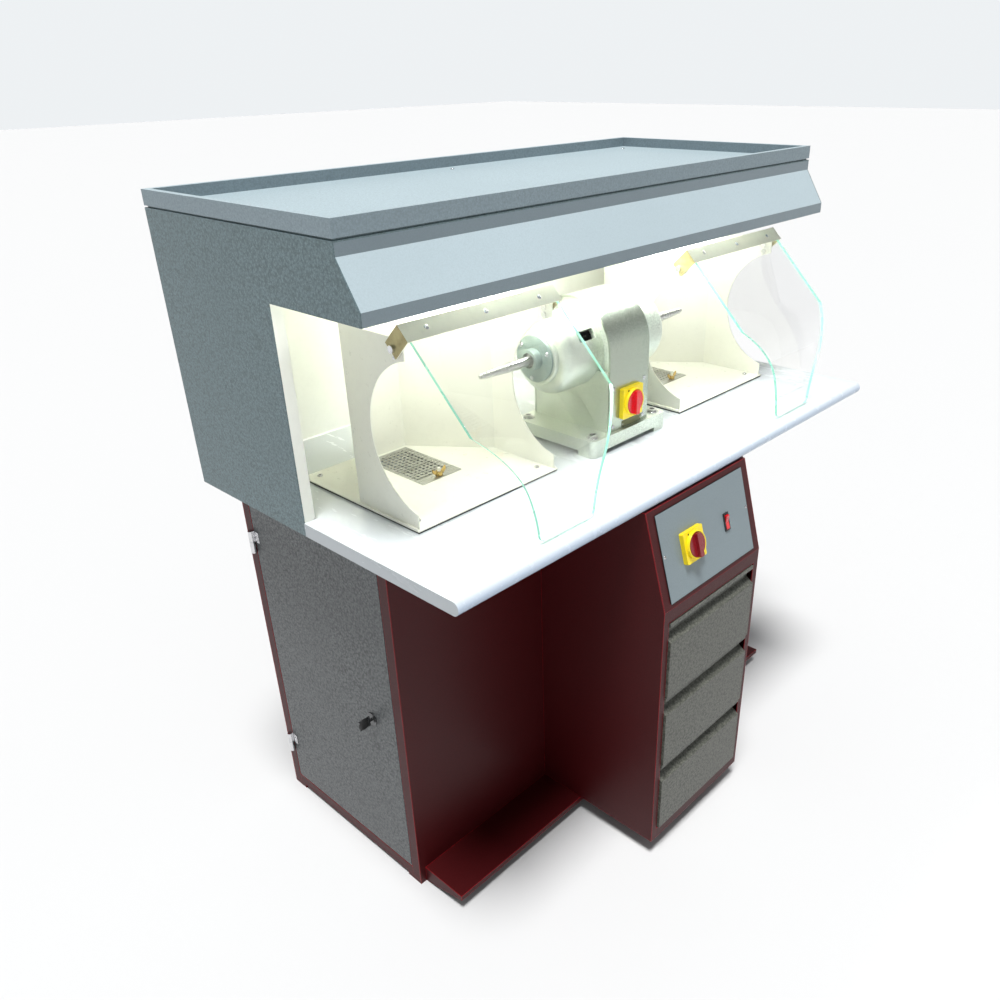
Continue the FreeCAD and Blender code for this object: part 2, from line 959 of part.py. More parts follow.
# Foot plate along the cabinet front, on upright webs
foot_side = named("foot_side", foot_plate_width / 2)
foot_front = named("foot_front", cab_front - foot_plate_depth)
foot_top_sheet = box(
    "foot_top_sheet",
    (-foot_side, foot_side),
    (foot_front, cab_front),
    (foot_plate_height - foot_plate_wall, foot_plate_height),
)
foot_lip_sheet = box(
    "foot_lip_sheet",
    (-foot_side, foot_side),
    (foot_front, foot_front + foot_plate_wall),
    (foot_plate_height - foot_lip, foot_plate_height),
)
web_outline = [
    (foot_front + foot_plate_wall, foot_plate_height - foot_lip),
    (cab_front, 0),
    (cab_front, foot_plate_height - foot_plate_wall),
    (foot_front + foot_plate_wall, foot_plate_height - foot_plate_wall),
]
web_shares = (-1, -0.34, 0.24, 1)
foot_webs = []
for index, share in enumerate(web_shares):
    middle = (foot_side - foot_plate_wall / 2) * share
    foot_webs.append(
        prism(
            f"foot_web_{index}", "X", web_outline,
            (middle - foot_plate_wall / 2, middle + foot_plate_wall / 2),
        )
    )
part("foot_plate", fuse("foot_plate_fused", foot_top_sheet, foot_lip_sheet, *foot_webs))

# Pedestal: housing for three drawers with a sloping control panel above
drawer_count = 3
pedestal_x = named("pedestal_x", -pedestal_offset)
pedestal_left = named("pedestal_left", pedestal_x - pedestal_width / 2)
pedestal_right = named("pedestal_right", pedestal_x + pedestal_width / 2)
pedestal_front = named("pedestal_front", front + drawer_proud)
shelf_height = named("shelf_height", knee_height - shelf_drop)
drawer_base = named("drawer_base", foot_plate_height + drawer_lift)
pedestal_outline = [
    (pedestal_front, foot_plate_height),
    (cab_front, foot_plate_height),
    (cab_front, bench_under),
    (pedestal_front + pedestal_setback, bench_under),
    (pedestal_front, knee_height),
]
pedestal_inner = (pedestal_left + sheet_wall, pedestal_right - sheet_wall)
pedestal_along = (pedestal_front + sheet_wall, cab_front - sheet_wall)
cheek_left = prism("cheek_left", "X", pedestal_outline, (pedestal_left, pedestal_inner[0]))
cheek_right = prism("cheek_right", "X", pedestal_outline, (pedestal_inner[1], pedestal_right))
pedestal_rear = box(
    "pedestal_rear", pedestal_inner, (cab_front - sheet_wall, cab_front), (foot_plate_height, bench_under)
)
pedestal_floor = box(
    "pedestal_floor", pedestal_inner, pedestal_along, (foot_plate_height, foot_plate_height + sheet_wall)
)
pedestal_shelf = box(
    "pedestal_shelf", pedestal_inner, pedestal_along, (shelf_height, shelf_height + sheet_wall)
)
pedestal_head = box(
    "pedestal_head", pedestal_inner,
    (pedestal_front + pedestal_setback + sheet_wall, cab_front - sheet_wall),
    (bench_under - sheet_wall, bench_under),
)
drawer_hole = named("drawer_hole", drawer_width / 2 + drawer_seam)
pedestal_frame = border(
    "pedestal_frame", "Y", (pedestal_front, pedestal_front + sheet_wall),
    (pedestal_inner, (foot_plate_height, knee_height)),
    (
        (pedestal_x - drawer_hole, pedestal_x + drawer_hole),
        (drawer_base - drawer_seam, drawer_base + drawer_pitch * drawer_count),
    ),
)
slope_outline = [
    (pedestal_front, knee_height),
    (pedestal_front + sheet_wall, knee_height),
    (pedestal_front + pedestal_setback + sheet_wall, bench_under),
    (pedestal_front + pedestal_setback, bench_under),
]
slope_sheet = prism("slope_sheet", "X", slope_outline, pedestal_inner)

# Sloping panel frame: its own axes start at the knee and climb along the slope
panel_rise = named("panel_rise", bench_under - knee_height)
panel_tilt = named("panel_tilt", slope_angle(pedestal_setback, panel_rise))
panel_origin = (pedestal_x, pedestal_front, knee_height)
panel_middle = named("panel_middle", panel_start + panel_length / 2)


def on_panel(item):
    """Carries a piece drawn in the panel's own axes onto the slope."""
    return moved(item, panel_origin, X_WAY, -panel_tilt)


panel_window = on_panel(
    box(
        "panel_window",
        (-panel_width / 2 + panel_window_margin, panel_width / 2 - panel_window_margin),
        (-overrun, overrun),
        (panel_start + panel_window_margin, panel_start + panel_length - panel_window_margin),
    )
)
part(
    "pedestal_shell",
    group(
        "pedestal_sheets", cheek_left, cheek_right, pedestal_rear,
        pedestal_floor, pedestal_shelf, pedestal_head,
        *pedestal_frame, cut("slope_open", slope_sheet, panel_window),
    ),
)

# Control panel with the openings for the two switches
panel_face = named("panel_face", -sheet_wall)
panel_sheet = box(
    "panel_sheet", (-panel_width / 2, panel_width / 2),
    (panel_face, 0), (panel_start, panel_start + panel_length),
)


def around(centre, size):
    """Span of a size about its centre."""
    return (centre - size / 2, centre + size / 2)


main_hole = box(
    "main_hole",
    around(main_switch_x, switch_body_size + 2 * seat_gap),
    (panel_face - overrun, overrun),
    around(panel_middle, switch_body_size + 2 * seat_gap),
)
rocker_hole_width = named("rocker_hole_width", rocker_width - 2 * rocker_rim)
rocker_hole_height = named("rocker_hole_height", rocker_height - 2 * rocker_rim)
rocker_hole = box(
    "rocker_hole",
    around(rocker_x, rocker_hole_width + 2 * seat_gap),
    (panel_face - overrun, overrun),
    around(panel_middle, rocker_hole_height + 2 * seat_gap),
)
part("control_panel", on_panel(cut("control_panel_cut", panel_sheet, main_hole, rocker_hole)))

# Rotary switches: square plate, red knob with a grip bar on a short spindle


def switch_plate(name, centre_x, back, centre_z):
    """Square rounded plate with a raised ring and a blind bore, back face on the wall behind it."""
    points, arcs = rounded(
        around(centre_x, switch_plate_size), around(centre_z, switch_plate_size), switch_plate_corner
    )
    face = back - switch_plate_thickness
    plate = prism(name + "_square", "Y", points, (face, back), arcs)
    ring = rod(
        name + "_ring", "Y", (centre_x, centre_z), plate_inner_ring, (face - plate_ring_height, back)
    )
    bore = rod(
        name + "_bore", "Y", (centre_x, centre_z), knob_shaft + running_gap,
        (face - plate_ring_height - overrun, face + knob_reach + seat_gap),
    )
    return cut(name + "_bored", fuse(name + "_blank", plate, ring), bore)


def switch_knob(name, centre_x, back, centre_z):
    """Round skirt with a bar across it, on a spindle that runs in the plate."""
    face = back - switch_plate_thickness - plate_ring_height - seat_gap
    skirt = rod(name + "_skirt", "Y", (centre_x, centre_z), knob_radius, (face - knob_skirt, face))
    bar = box(
        name + "_bar", around(centre_x, knob_grip),
        (face - knob_height, face), around(centre_z, 2 * knob_radius),
    )
    limit = rod(name + "_limit", "Y", (centre_x, centre_z), knob_radius, (face - knob_height, face))
    grip = doc.addObject("Part::Common", name + "_grip")
    grip.Base = bar
    grip.Tool = limit
    spindle = rod(
        name + "_spindle", "Y", (centre_x, centre_z), knob_shaft,
        (face, back - switch_plate_thickness + knob_reach),
    )
    return fuse(name + "_fused", skirt, grip, spindle)


main_plate = switch_plate("main_plate", main_switch_x, panel_face, panel_middle)
main_body = box(
    "main_body",
    around(main_switch_x, switch_body_size),
    (panel_face, panel_face + switch_body_depth),
    around(panel_middle, switch_body_size),
)
part("main_switch_plate", on_panel(fuse("main_switch_fused", main_plate, main_body)))
part("main_switch_knob", on_panel(switch_knob("main_knob", main_switch_x, panel_face, panel_middle)))

# Rocker switch: frame through the panel and a button on a cross pin
rocker_face = named("rocker_face", panel_face - rocker_frame_proud)
rocker_outer = box(
    "rocker_outer", around(rocker_x, rocker_width),
    (rocker_face, panel_face), around(panel_middle, rocker_height),
)
rocker_tub = box(
    "rocker_tub",
    around(rocker_x, rocker_hole_width),
    (panel_face, panel_face + rocker_depth),
    around(panel_middle, rocker_hole_height),
)
rocker_well = box(
    "rocker_well",
    around(rocker_x, rocker_hole_width - 2 * rocker_wall),
    (rocker_face - overrun, panel_face + rocker_depth - rocker_wall),
    around(panel_middle, rocker_hole_height - 2 * rocker_wall),
)
rocker_axis_y = named("rocker_axis_y", rocker_face + rocker_pivot)
rocker_pin_hole = rod(
    "rocker_pin_hole", "X", (rocker_axis_y, panel_middle), rocker_pin + running_gap,
    around(rocker_x, rocker_hole_width + 2 * overrun),
)
rocker_shell = cut(
    "rocker_shell", fuse("rocker_blank", rocker_outer, rocker_tub), rocker_well, rocker_pin_hole
)
part("rocker_frame", on_panel(rocker_shell))
button_half = named("button_half", rocker_hole_height / 2 - rocker_wall - rocker_play)
button_outline = [
    (rocker_axis_y + rocker_pivot, -button_half / 2),
    (rocker_axis_y + rocker_pivot, button_half / 2),
    (rocker_axis_y, button_half),
    (rocker_axis_y - rocker_pivot - rocker_crown, button_half),
    (rocker_axis_y - rocker_pivot, 0),
    (rocker_axis_y - rocker_pivot - rocker_crown, -button_half),
    (rocker_axis_y, -button_half),
]
button_width = named("button_width", rocker_hole_width - 2 * rocker_wall - 2 * seat_gap)
button_block = prism("button_block", "X", button_outline, (-button_width / 2, button_width / 2))
button_pin = rod(
    "button_pin", "X", (rocker_axis_y, 0), rocker_pin, around(0, rocker_hole_width - rocker_wall)
)
button_flat = fuse("button_flat", button_block, button_pin)
swing_y = rocker_axis_y - rocker_axis_y * cosine(rocker_tilt)
swing_z = panel_middle - rocker_axis_y * sine(rocker_tilt)
button_tilted = moved(button_flat, (rocker_x, swing_y, swing_z), X_WAY, rocker_tilt)
part("rocker_button", on_panel(button_tilted))

# Drawers: folded front with a finger groove, open tray with slide bars, fixed runners
tray_front_y = named("tray_front_y", front + front_depth)
tray_rear_y = named("tray_rear_y", tray_front_y + drawer_tray_depth)
pedestal_inner_half = named("pedestal_inner_half", pedestal_width / 2 - sheet_wall)
runner_pieces = []
for index in range(drawer_count):
    letter = ("low", "middle", "top")[index]
    bottom = drawer_base + drawer_pitch * index
    lip_z = bottom + drawer_pitch - drawer_seam
    face_z = bottom + front_face_height
    front_outline = [
        (front, bottom),
        (front + front_depth, bottom),
        (front + front_depth, lip_z),
        (front + front_lip_setback, lip_z),
        (front + front_lip_setback, lip_z - front_lip_height),
        (front + groove_depth, lip_z - front_lip_height),
        (front + groove_depth, face_z + groove_rise),
        (front + front_nose, face_z),
        (front, face_z - front_nose),
    ]
    front_solid = prism(
        f"front_{letter}_block", "X", front_outline,
        (pedestal_x - drawer_width / 2, pedestal_x + drawer_width / 2), {7: (front_nose, 1)},
    )
    front_pocket = box(
        f"front_{letter}_pocket",
        (pedestal_x - drawer_width / 2 + sheet_wall, pedestal_x + drawer_width / 2 - sheet_wall),
        (front + sheet_wall, front + front_depth - sheet_wall),
        (bottom + sheet_wall, face_z - front_nose - sheet_wall),
    )
    front_window = box(
        f"front_{letter}_window",
        around(pedestal_x, drawer_width - 2 * front_return),
        (front + front_depth - sheet_wall - overrun, front + front_depth + overrun),
        (bottom + front_return, face_z - front_return),
    )
    part(f"drawer_front_{letter}", cut(f"front_{letter}_cut", front_solid, front_pocket, front_window))
    floor_z = bottom + drawer_tray_lift
    tray_outer = box(
        f"tray_{letter}_outer",
        (pedestal_x - tray_half, pedestal_x + tray_half),
        (tray_front_y, tray_rear_y),
        (floor_z, floor_z + drawer_tray_height),
    )
    tray_room = box(
        f"tray_{letter}_room",
        (pedestal_x - tray_half + thin_wall, pedestal_x + tray_half - thin_wall),
        (tray_front_y + thin_wall, tray_rear_y - thin_wall),
        (floor_z + thin_wall, floor_z + drawer_tray_height + overrun),
    )
    tray_open = cut(f"tray_{letter}_open", tray_outer, tray_room)
    bar_z = bottom + bar_lift
    bar_left = box(
        f"bar_{letter}_left",
        (pedestal_x - tray_half - bar_width, pedestal_x - tray_half),
        (tray_front_y, tray_rear_y),
        (bar_z - bar_half, bar_z + bar_half),
    )
    bar_right = box(
        f"bar_{letter}_right",
        (pedestal_x + tray_half, pedestal_x + tray_half + bar_width),
        (tray_front_y, tray_rear_y),
        (bar_z - bar_half, bar_z + bar_half),
    )
    part(f"drawer_tray_{letter}", fuse(f"tray_{letter}_fused", tray_open, bar_left, bar_right))
    for letter_side, sign in (("left", -1), ("right", 1)):
        web_inner = tray_half + bar_width + runner_side_gap
        flange_inner = tray_half + bar_width - runner_depth
        slot = bar_half + seat_gap
        runner_along = (tray_front_y + runner_front_gap, cab_front - sheet_wall)

        def across(near, far):
            """Span between two distances from the pedestal's middle, on this side."""
            one = pedestal_x + near * sign
            two = pedestal_x + far * sign
            return (one, two) if sign > 0 else (two, one)

        name = f"runner_{letter}_{letter_side}"
        runner_web = box(
            name + "_web", across(web_inner, web_inner + sheet_wall), runner_along,
            (bar_z - slot - sheet_wall, bar_z + slot + sheet_wall),
        )
        runner_top = box(
            name + "_top", across(flange_inner, web_inner + sheet_wall), runner_along,
            (bar_z + slot, bar_z + slot + sheet_wall),
        )
        runner_low = box(
            name + "_low", across(flange_inner, web_inner + sheet_wall), runner_along,
            (bar_z - slot - sheet_wall, bar_z - slot),
        )
        post_front = box(
            name + "_post_front", across(web_inner + sheet_wall, pedestal_inner_half),
            (runner_along[0], runner_along[0] + runner_post), (bar_z - bar_half, bar_z + bar_half),
        )
        post_rear = box(
            name + "_post_rear", across(web_inner + sheet_wall, pedestal_inner_half),
            (runner_along[1] - runner_post, runner_along[1]), (bar_z - bar_half, bar_z + bar_half),
        )
        runner_pieces.append(fuse(name, runner_web, runner_top, runner_low, post_front, post_rear))
part("drawer_runners", group("runners", *runner_pieces))

# Booths: rubber mat, base plate with an air opening, folded half-octagon shell with round front cuts
booth_floor = named("booth_floor", bench_top + mat_thickness + booth_plate_thickness)
booth_top = named("booth_top", booth_floor + booth_height)
booth_front = named("booth_front", booth_plate_front + booth_setback)
wing_rear = named("wing_rear", booth_front + wing_depth)
booth_rear = named("booth_rear", booth_front + booth_depth)
half_booth = named("half_booth", booth_width / 2)
half_back = named("half_back", booth_back_width / 2)
facet_across = named("facet_across", half_booth - half_back)
facet_along = named("facet_along", booth_rear - wing_rear)
facet_length = named("facet_length", root(facet_across * facet_across + facet_along * facet_along))
wing_corner = named("wing_corner", sheet_wall * (facet_length - facet_along) / facet_across)
back_corner = named("back_corner", sheet_wall * (facet_length - facet_across) / facet_along)
mats = []
plates = []
grids = []
pivots = []
hole_columns = 9
hole_rows = 14
grid_front = named("grid_front", booth_plate_front + grid_setback)
stud_y = named("stud_y", grid_front + stud_setback)
pivot_y = named("pivot_y", booth_front + pivot_setback)
pivot_z = named("pivot_z", booth_top - pivot_drop)
cheek_x = named("cheek_x", half_booth + pivot_washer + seat_gap)
stop_drop = named("stop_drop", cheek_low + stop_radius + seat_gap)
stop_y = named("stop_y", pivot_y - stop_run * cosine(shield_tilt) + stop_drop * sine(shield_tilt))
stop_z = named("stop_z", pivot_z - stop_run * sine(shield_tilt) - stop_drop * cosine(shield_tilt))

shell_outer_outline = [
    (-half_booth, booth_front),
    (half_booth, booth_front),
    (half_booth, wing_rear),
    (half_back, booth_rear),
    (-half_back, booth_rear),
    (-half_booth, wing_rear),
]
inner_half = named("inner_half", half_booth - sheet_wall)
inner_back = named("inner_back", half_back - back_corner)
shell_inner_outline = [
    (-inner_half, booth_front - overrun),
    (inner_half, booth_front - overrun),
    (inner_half, wing_rear - wing_corner),
    (inner_back, booth_rear - sheet_wall),
    (-inner_back, booth_rear - sheet_wall),
    (-inner_half, wing_rear - wing_corner),
]
grid_pitch_x = named("grid_pitch_x", (grid_width - 2 * grid_margin_side - grid_hole) / (hole_columns - 1))
grid_field = named("grid_field", grid_depth - grid_margin_front - grid_margin_rear - grid_hole)
grid_pitch_y = named("grid_pitch_y", grid_field / (hole_rows - 1))


def rectangle(across, along):
    """Corner points of a rectangle."""
    return [(across[0], along[0]), (across[1], along[0]), (across[1], along[1]), (across[0], along[1])]


def perforated_grid(name):
    """Sheet with rows of square holes by a pattern, and a plain front edge for its wing nut."""
    body = doc.addObject("PartDesign::Body", name)
    sheet_points = rectangle((-grid_width / 2, grid_width / 2), (grid_front, grid_front + grid_depth))
    sheet_sketch = outline(body, name + "_sheet", "XY_Plane", booth_floor, sheet_points)
    pad = body.newObject("PartDesign::Pad", name + "_pad")
    pad.Profile = sheet_sketch
    bind(pad, "Length", grid_thickness)
    first_x = -grid_width / 2 + grid_margin_side
    first_y = grid_front + grid_margin_front
    hole_points = rectangle((first_x, first_x + grid_hole), (first_y, first_y + grid_hole))
    hole_sketch = outline(body, name + "_hole", "XY_Plane", booth_floor, hole_points)
    pocket = body.newObject("PartDesign::Pocket", name + "_pocket")
    pocket.Profile = hole_sketch
    pocket.Type = 1
    pocket.Midplane = True
    pattern = body.newObject("PartDesign::MultiTransform", name + "_pattern")
    across = body.newObject("PartDesign::LinearPattern", name + "_across")
    across.Direction = (origin_piece(body, "X_Axis"), [""])
    bind(across, "Length", grid_pitch_x * (hole_columns - 1))
    across.Occurrences = hole_columns
    along = body.newObject("PartDesign::LinearPattern", name + "_along")
    along.Direction = (origin_piece(body, "Y_Axis"), [""])
    bind(along, "Length", grid_pitch_y * (hole_rows - 1))
    along.Occurrences = hole_rows
    pattern.Originals = [pocket]
    pattern.Transformations = [across, along]
    body.Tip = pattern
    return body


for name, place in (("left", -booth_x), ("right", booth_x)):
    plate_across = around(place, booth_plate_width)
    plate_along = (booth_plate_front, booth_plate_front + booth_plate_depth)
    hole_across = around(place, air_hole_width)
    hole_along = (air_hole_front, air_hole_rear)
    mat_sheet = box(
        f"mat_{name}_sheet",
        (plate_across[0] + mat_inset, plate_across[1] - mat_inset),
        (plate_along[0] + mat_inset, plate_along[1] - mat_inset),
        (bench_top, bench_top + mat_thickness),
    )
    mat_hole = box(
        f"mat_{name}_hole", hole_across, hole_along, (bench_top - overrun, booth_floor + overrun)
    )
    mats.append(cut(f"mat_{name}", mat_sheet, mat_hole))
    plate_sheet = box(
        f"plate_{name}_sheet", plate_across, plate_along, (bench_top + mat_thickness, booth_floor)
    )
    plate_hole = box(f"plate_{name}_hole", hole_across, hole_along, (bench_top, booth_floor + overrun))
    stud_span = (bench_top + mat_thickness, booth_floor + stud_height)
    stud = rod(f"stud_{name}", "Z", (place, stud_y), stud_radius, stud_span)
    plates.append(fuse(f"plate_{name}", cut(f"plate_{name}_open", plate_sheet, plate_hole), stud))

    shell_block = prism(f"shell_{name}_block", "Z", shell_outer_outline, (booth_floor, booth_top))
    shell_room = prism(
        f"shell_{name}_room", "Z", shell_inner_outline, (booth_floor - overrun, booth_top - sheet_wall)
    )
    wing_cutter = rod(
        f"shell_{name}_wing_cut", "X",
        (booth_front - wing_cut_reach, booth_floor + wing_cut_height),
        wing_cut_radius, (-half_booth - overrun, half_booth + overrun),
    )
    pivot_hole = rod(
        f"shell_{name}_pivot_hole", "X", (pivot_y, pivot_z), pivot_radius + running_gap,
        (-half_booth - overrun, half_booth + overrun),
    )
    stop_hole = rod(
        f"shell_{name}_stop_hole", "X", (stop_y, stop_z), stop_radius + running_gap,
        (-half_booth - overrun, half_booth + overrun),
    )
    shell_open = cut(f"shell_{name}_open", shell_block, shell_room, wing_cutter, pivot_hole, stop_hole)
    part(f"booth_shell_{name}", move(shell_open, (place, 0, 0)))

    grid_sheet = perforated_grid(f"grid_{name}_sheet")
    grid_stud_hole = rod(
        f"grid_{name}_stud_hole", "Z", (0, stud_y), stud_radius + seat_gap,
        (booth_floor - overrun, booth_floor + grid_thickness + overrun),
    )
    grids.append(move(cut(f"grid_{name}", grid_sheet, grid_stud_hole), (place, 0, 0)))

    for letter, sign in (("a", -1), ("b", 1)):
        for kind, where, radius in (
            ("pivot", (pivot_y, pivot_z), pivot_radius),
            ("stop", (stop_y, stop_z), stop_radius),
        ):
            pin_name = f"{kind}_{name}_{letter}"
            inside = half_booth - sheet_wall - pivot_head / 2
            outside = cheek_x + cheek_wall + seat_gap
            reach = outside + pivot_head if kind == "pivot" else outside

            def spread(near, far):
                """Span along X on this side of the booth."""
                one = place + near * sign
                two = place + far * sign
                return (one, two) if sign > 0 else (two, one)

            pieces = [
                rod(pin_name + "_shank", "X", where, radius, spread(inside, reach)),
                rod(pin_name + "_nut", "X", where, radius * 2, spread(inside, half_booth - sheet_wall)),
            ]
            if kind == "pivot":
                washer_span = spread(half_booth, half_booth + pivot_washer)
                pieces.append(rod(pin_name + "_washer", "X", where, pivot_head_radius, washer_span))
                pieces.append(
                    rod(pin_name + "_head", "X", where, pivot_head_radius, spread(outside, reach))
                )
            pivots.append(fuse(pin_name, *pieces))
part("booth_mats", group("mats", *mats))
part("booth_plates", group("plates", *plates))
part("booth_grids", group("grids", *grids))
part("shield_pins", group("pins", *pivots))

# Wing nuts that hold the grids down
nut_base = named("nut_base", booth_floor + grid_thickness + seat_gap)
for name, place in (("left", -booth_x), ("right", booth_x)):
    nut_hub = rod(f"nut_{name}_hub", "Z", (place, stud_y), nut_radius, (nut_base, nut_base + nut_height))
    nut_wing_outline = [
        (place - wing_reach, nut_base + nut_height),
        (place - nut_radius, nut_base),
        (place + nut_radius, nut_base),
        (place + wing_reach, nut_base + nut_height),
        (place + wing_reach, nut_base + wing_height),
        (place + nut_radius, nut_base + nut_height),
        (place - nut_radius, nut_base + nut_height),
        (place - wing_reach, nut_base + wing_height),
    ]
    nut_wings = prism(f"nut_{name}_wings", "Y", nut_wing_outline, around(stud_y, wing_thickness))
    nut_bore_span = (nut_base - overrun, nut_base + wing_height)
    nut_bore = rod(f"nut_{name}_bore", "Z", (place, stud_y), stud_radius + running_gap, nut_bore_span)
    part(f"wing_nut_{name}", cut(f"nut_{name}", fuse(f"nut_{name}_blank", nut_hub, nut_wings), nut_bore))

# Shields: folded bracket on the pivots and a bent glass that narrows to a tongue
inner_bend = named("inner_bend", glass_bend - glass_thickness)
bend_out = cosine(shield_tilt)
bend_down = 1 - sine(shield_tilt)
glass_outline = [
    (glass_clamp, web_offset - glass_thickness),
    (glass_clamp, web_offset),
    (-glass_straight, web_offset),
    (-glass_straight - glass_bend * bend_out, web_offset - glass_bend * bend_down),
    (
        -glass_straight - glass_bend * bend_out - glass_leg * sine(shield_tilt),
        web_offset - glass_bend * bend_down - glass_leg * cosine(shield_tilt),
    ),
    (
        -glass_straight - inner_bend * bend_out - glass_leg * sine(shield_tilt),
        web_offset - glass_thickness - inner_bend * bend_down - glass_leg * cosine(shield_tilt),
    ),
    (-glass_straight - inner_bend * bend_out, web_offset - glass_thickness - inner_bend * bend_down),
    (-glass_straight, web_offset - glass_thickness),
]
kink_z = named("kink_z", pivot_z - glass_straight * sine(shield_tilt) + web_offset * cosine(shield_tilt))
leg_low_s = glass_straight + glass_bend * bend_out + glass_leg * sine(shield_tilt)
leg_low_n = web_offset - glass_bend * bend_down - glass_leg * cosine(shield_tilt)
tongue_z = named("tongue_z", pivot_z - leg_low_s * sine(shield_tilt) + leg_low_n * cosine(shield_tilt))
glass_near = named("glass_near", pivot_y + overrun + web_offset)
glass_far = named("glass_far", pivot_y - leg_low_s - web_offset)
tongue_outline = [
    (-tongue_width / 2 + tongue_corner, tongue_z),
    (tongue_width / 2 - tongue_corner, tongue_z),
    (tongue_width / 2, tongue_z + tongue_corner),
    (glass_width / 2, kink_z),
    (glass_width / 2, pivot_z + web_offset + web_offset),
    (-glass_width / 2, pivot_z + web_offset + web_offset),
    (-glass_width / 2, kink_z),
    (-tongue_width / 2, tongue_z + tongue_corner),
]
tongue_arcs = {1: (tongue_corner, 1), 2: (tongue_curve, -1), 6: (tongue_curve, -1), 7: (tongue_corner, 1)}
for name, place in (("left", -booth_x), ("right", booth_x)):
    web = box(
        f"bracket_{name}_web",
        (-cheek_x - cheek_wall, cheek_x + cheek_wall),
        (-cheek_front, cheek_rear),
        (web_offset, web_offset + cheek_wall),
    )
    cheek_a = box(
        f"bracket_{name}_cheek_a",
        (-cheek_x - cheek_wall, -cheek_x), (-cheek_front, cheek_rear),
        (-cheek_low, web_offset + cheek_wall),
    )
    cheek_b = box(
        f"bracket_{name}_cheek_b",
        (cheek_x, cheek_x + cheek_wall), (-cheek_front, cheek_rear),
        (-cheek_low, web_offset + cheek_wall),
    )
    cheek_hole = rod(
        f"bracket_{name}_hole", "X", (0, 0), pivot_radius + running_gap,
        (-cheek_x - overrun, cheek_x + overrun),
    )
    bracket = cut(f"bracket_{name}", fuse(f"bracket_{name}_blank", web, cheek_a, cheek_b), cheek_hole)
    part(f"shield_bracket_{name}", move(bracket, (place, pivot_y, pivot_z), X_WAY, shield_tilt))
    bent = prism(
        f"glass_{name}_bent", "X", glass_outline, (-glass_width / 2, glass_width / 2),
        {2: (glass_bend, 1), 6: (inner_bend, -1)},
    )
    move(bent, (0, pivot_y, pivot_z), X_WAY, shield_tilt)
    front_shape = prism(f"glass_{name}_front", "Y", tongue_outline, (glass_far, glass_near), tongue_arcs)
    glass = doc.addObject("Part::Common", f"glass_{name}")
    glass.Base = bent
    glass.Tool = front_shape
    part(f"shield_glass_{name}", move(glass, (place, 0, 0)))

# Lathe: cast base and column, sheet cover over the barrel, stepped end bells and long tapered spindles
lathe_y = named("lathe_y", lathe_front + lathe_base_depth / 2)
lathe_z = named("lathe_z", bench_top + lathe_axis_height)
column_half = named("column_half", column_width / 2)
saddle_half = named("saddle_half", column_half - cover_overhang)
core_radius = named("core_radius", cover_radius - cover_wall - seat_gap)
cover_face = named("cover_face", lathe_y - cover_radius)
lathe_switch_z = named("lathe_switch_z", bench_top + lathe_switch_height)
base_points, base_arcs = rounded((-lathe_half, lathe_half), (lathe_front, lathe_rear), lathe_base_corner)
base_block = prism("lathe_base_block", "Z", base_points, (bench_top, ledge), base_arcs)
base_channel_x = box(
    "base_channel_x",
    (-lathe_half - overrun, lathe_half + overrun),
    (lathe_front + lathe_foot, lathe_rear - lathe_foot),
    (bench_top - overrun, bench_top + lathe_foot_height),
)
base_channel_y = box(
    "base_channel_y",
    (-lathe_half + lathe_foot, lathe_half - lathe_foot),
    (lathe_front - overrun, lathe_rear + overrun),
    (bench_top - overrun, bench_top + lathe_foot_height),
)
column_core = box(
    "column_core",
    (-column_half, column_half),
    (lathe_y - core_radius, lathe_y + core_radius),
    (ledge, lathe_z - column_drop),
)
saddle_core = box(
    "saddle_core",
    (-saddle_half, saddle_half),
    (lathe_y - core_radius, lathe_y + core_radius),
    (ledge, lathe_z),
)
barrel_core = rod("barrel_core", "X", (lathe_y, lathe_z), core_radius, (-saddle_half, saddle_half))
barrel = rod("barrel", "X", (lathe_y, lathe_z), barrel_radius, (-barrel_half, barrel_half))
barrel_hole = rod(
    "barrel_hole", "X", (lathe_y, lathe_z), barrel_bore, (-barrel_half - overrun, barrel_half + overrun)
)
column_hole = box(
    "column_hole",
    (-column_half + column_wall, column_half - column_wall),
    (lathe_y - core_radius + column_wall, lathe_y + core_radius - column_wall),
    (bench_top - overrun, lathe_z - barrel_bore - column_wall),
)
slot_box = box(
    "slot_box",
    (0, slot_width),
    (-barrel_radius - overrun, -barrel_bore + overrun),
    (-slot_height / 2, slot_height / 2),
)
air_slot = moved(slot_box, (-barrel_half + slot_inset, lathe_y, lathe_z), X_WAY, -slot_angle)


def switch_hole(name):
    """Round way through the cover and the column for the body of the switch."""
    return rod(
        name, "Y", (lathe_switch_x, lathe_switch_z), switch_boss_radius + seat_gap,
        (cover_face - overrun, cover_face + switch_boss_reach + seat_gap),
    )


casting_bolts = bolt_rods("casting_bolt", bolt_radius + seat_gap, (bench_top - overrun, ledge + overrun))
base_casting = cut("base_casting", base_block, base_channel_x, base_channel_y, column_hole, *casting_bolts)
column_casting = cut(
    "column_casting",
    fuse("column_blank", column_core, saddle_core, barrel_core),
    barrel, column_hole, switch_hole("casting_switch_hole"),
)
barrel_casting = cut("barrel_casting", barrel, barrel_hole, air_slot)
part("lathe_housing", group("lathe_castings", base_casting, column_casting, barrel_casting))
bolt_heads = bolt_rods("bolt_head", bolt_head_radius, (ledge, ledge + bolt_head_height))
bolt_shanks = bolt_rods("bolt_shank", bolt_radius, (bench_top - bolt_reach, ledge + bolt_head_height))
bolts = [fuse(f"bolt_{index}", head, bolt_shanks[index]) for index, head in enumerate(bolt_heads)]
part("lathe_bolts", group("bolts", *bolts))


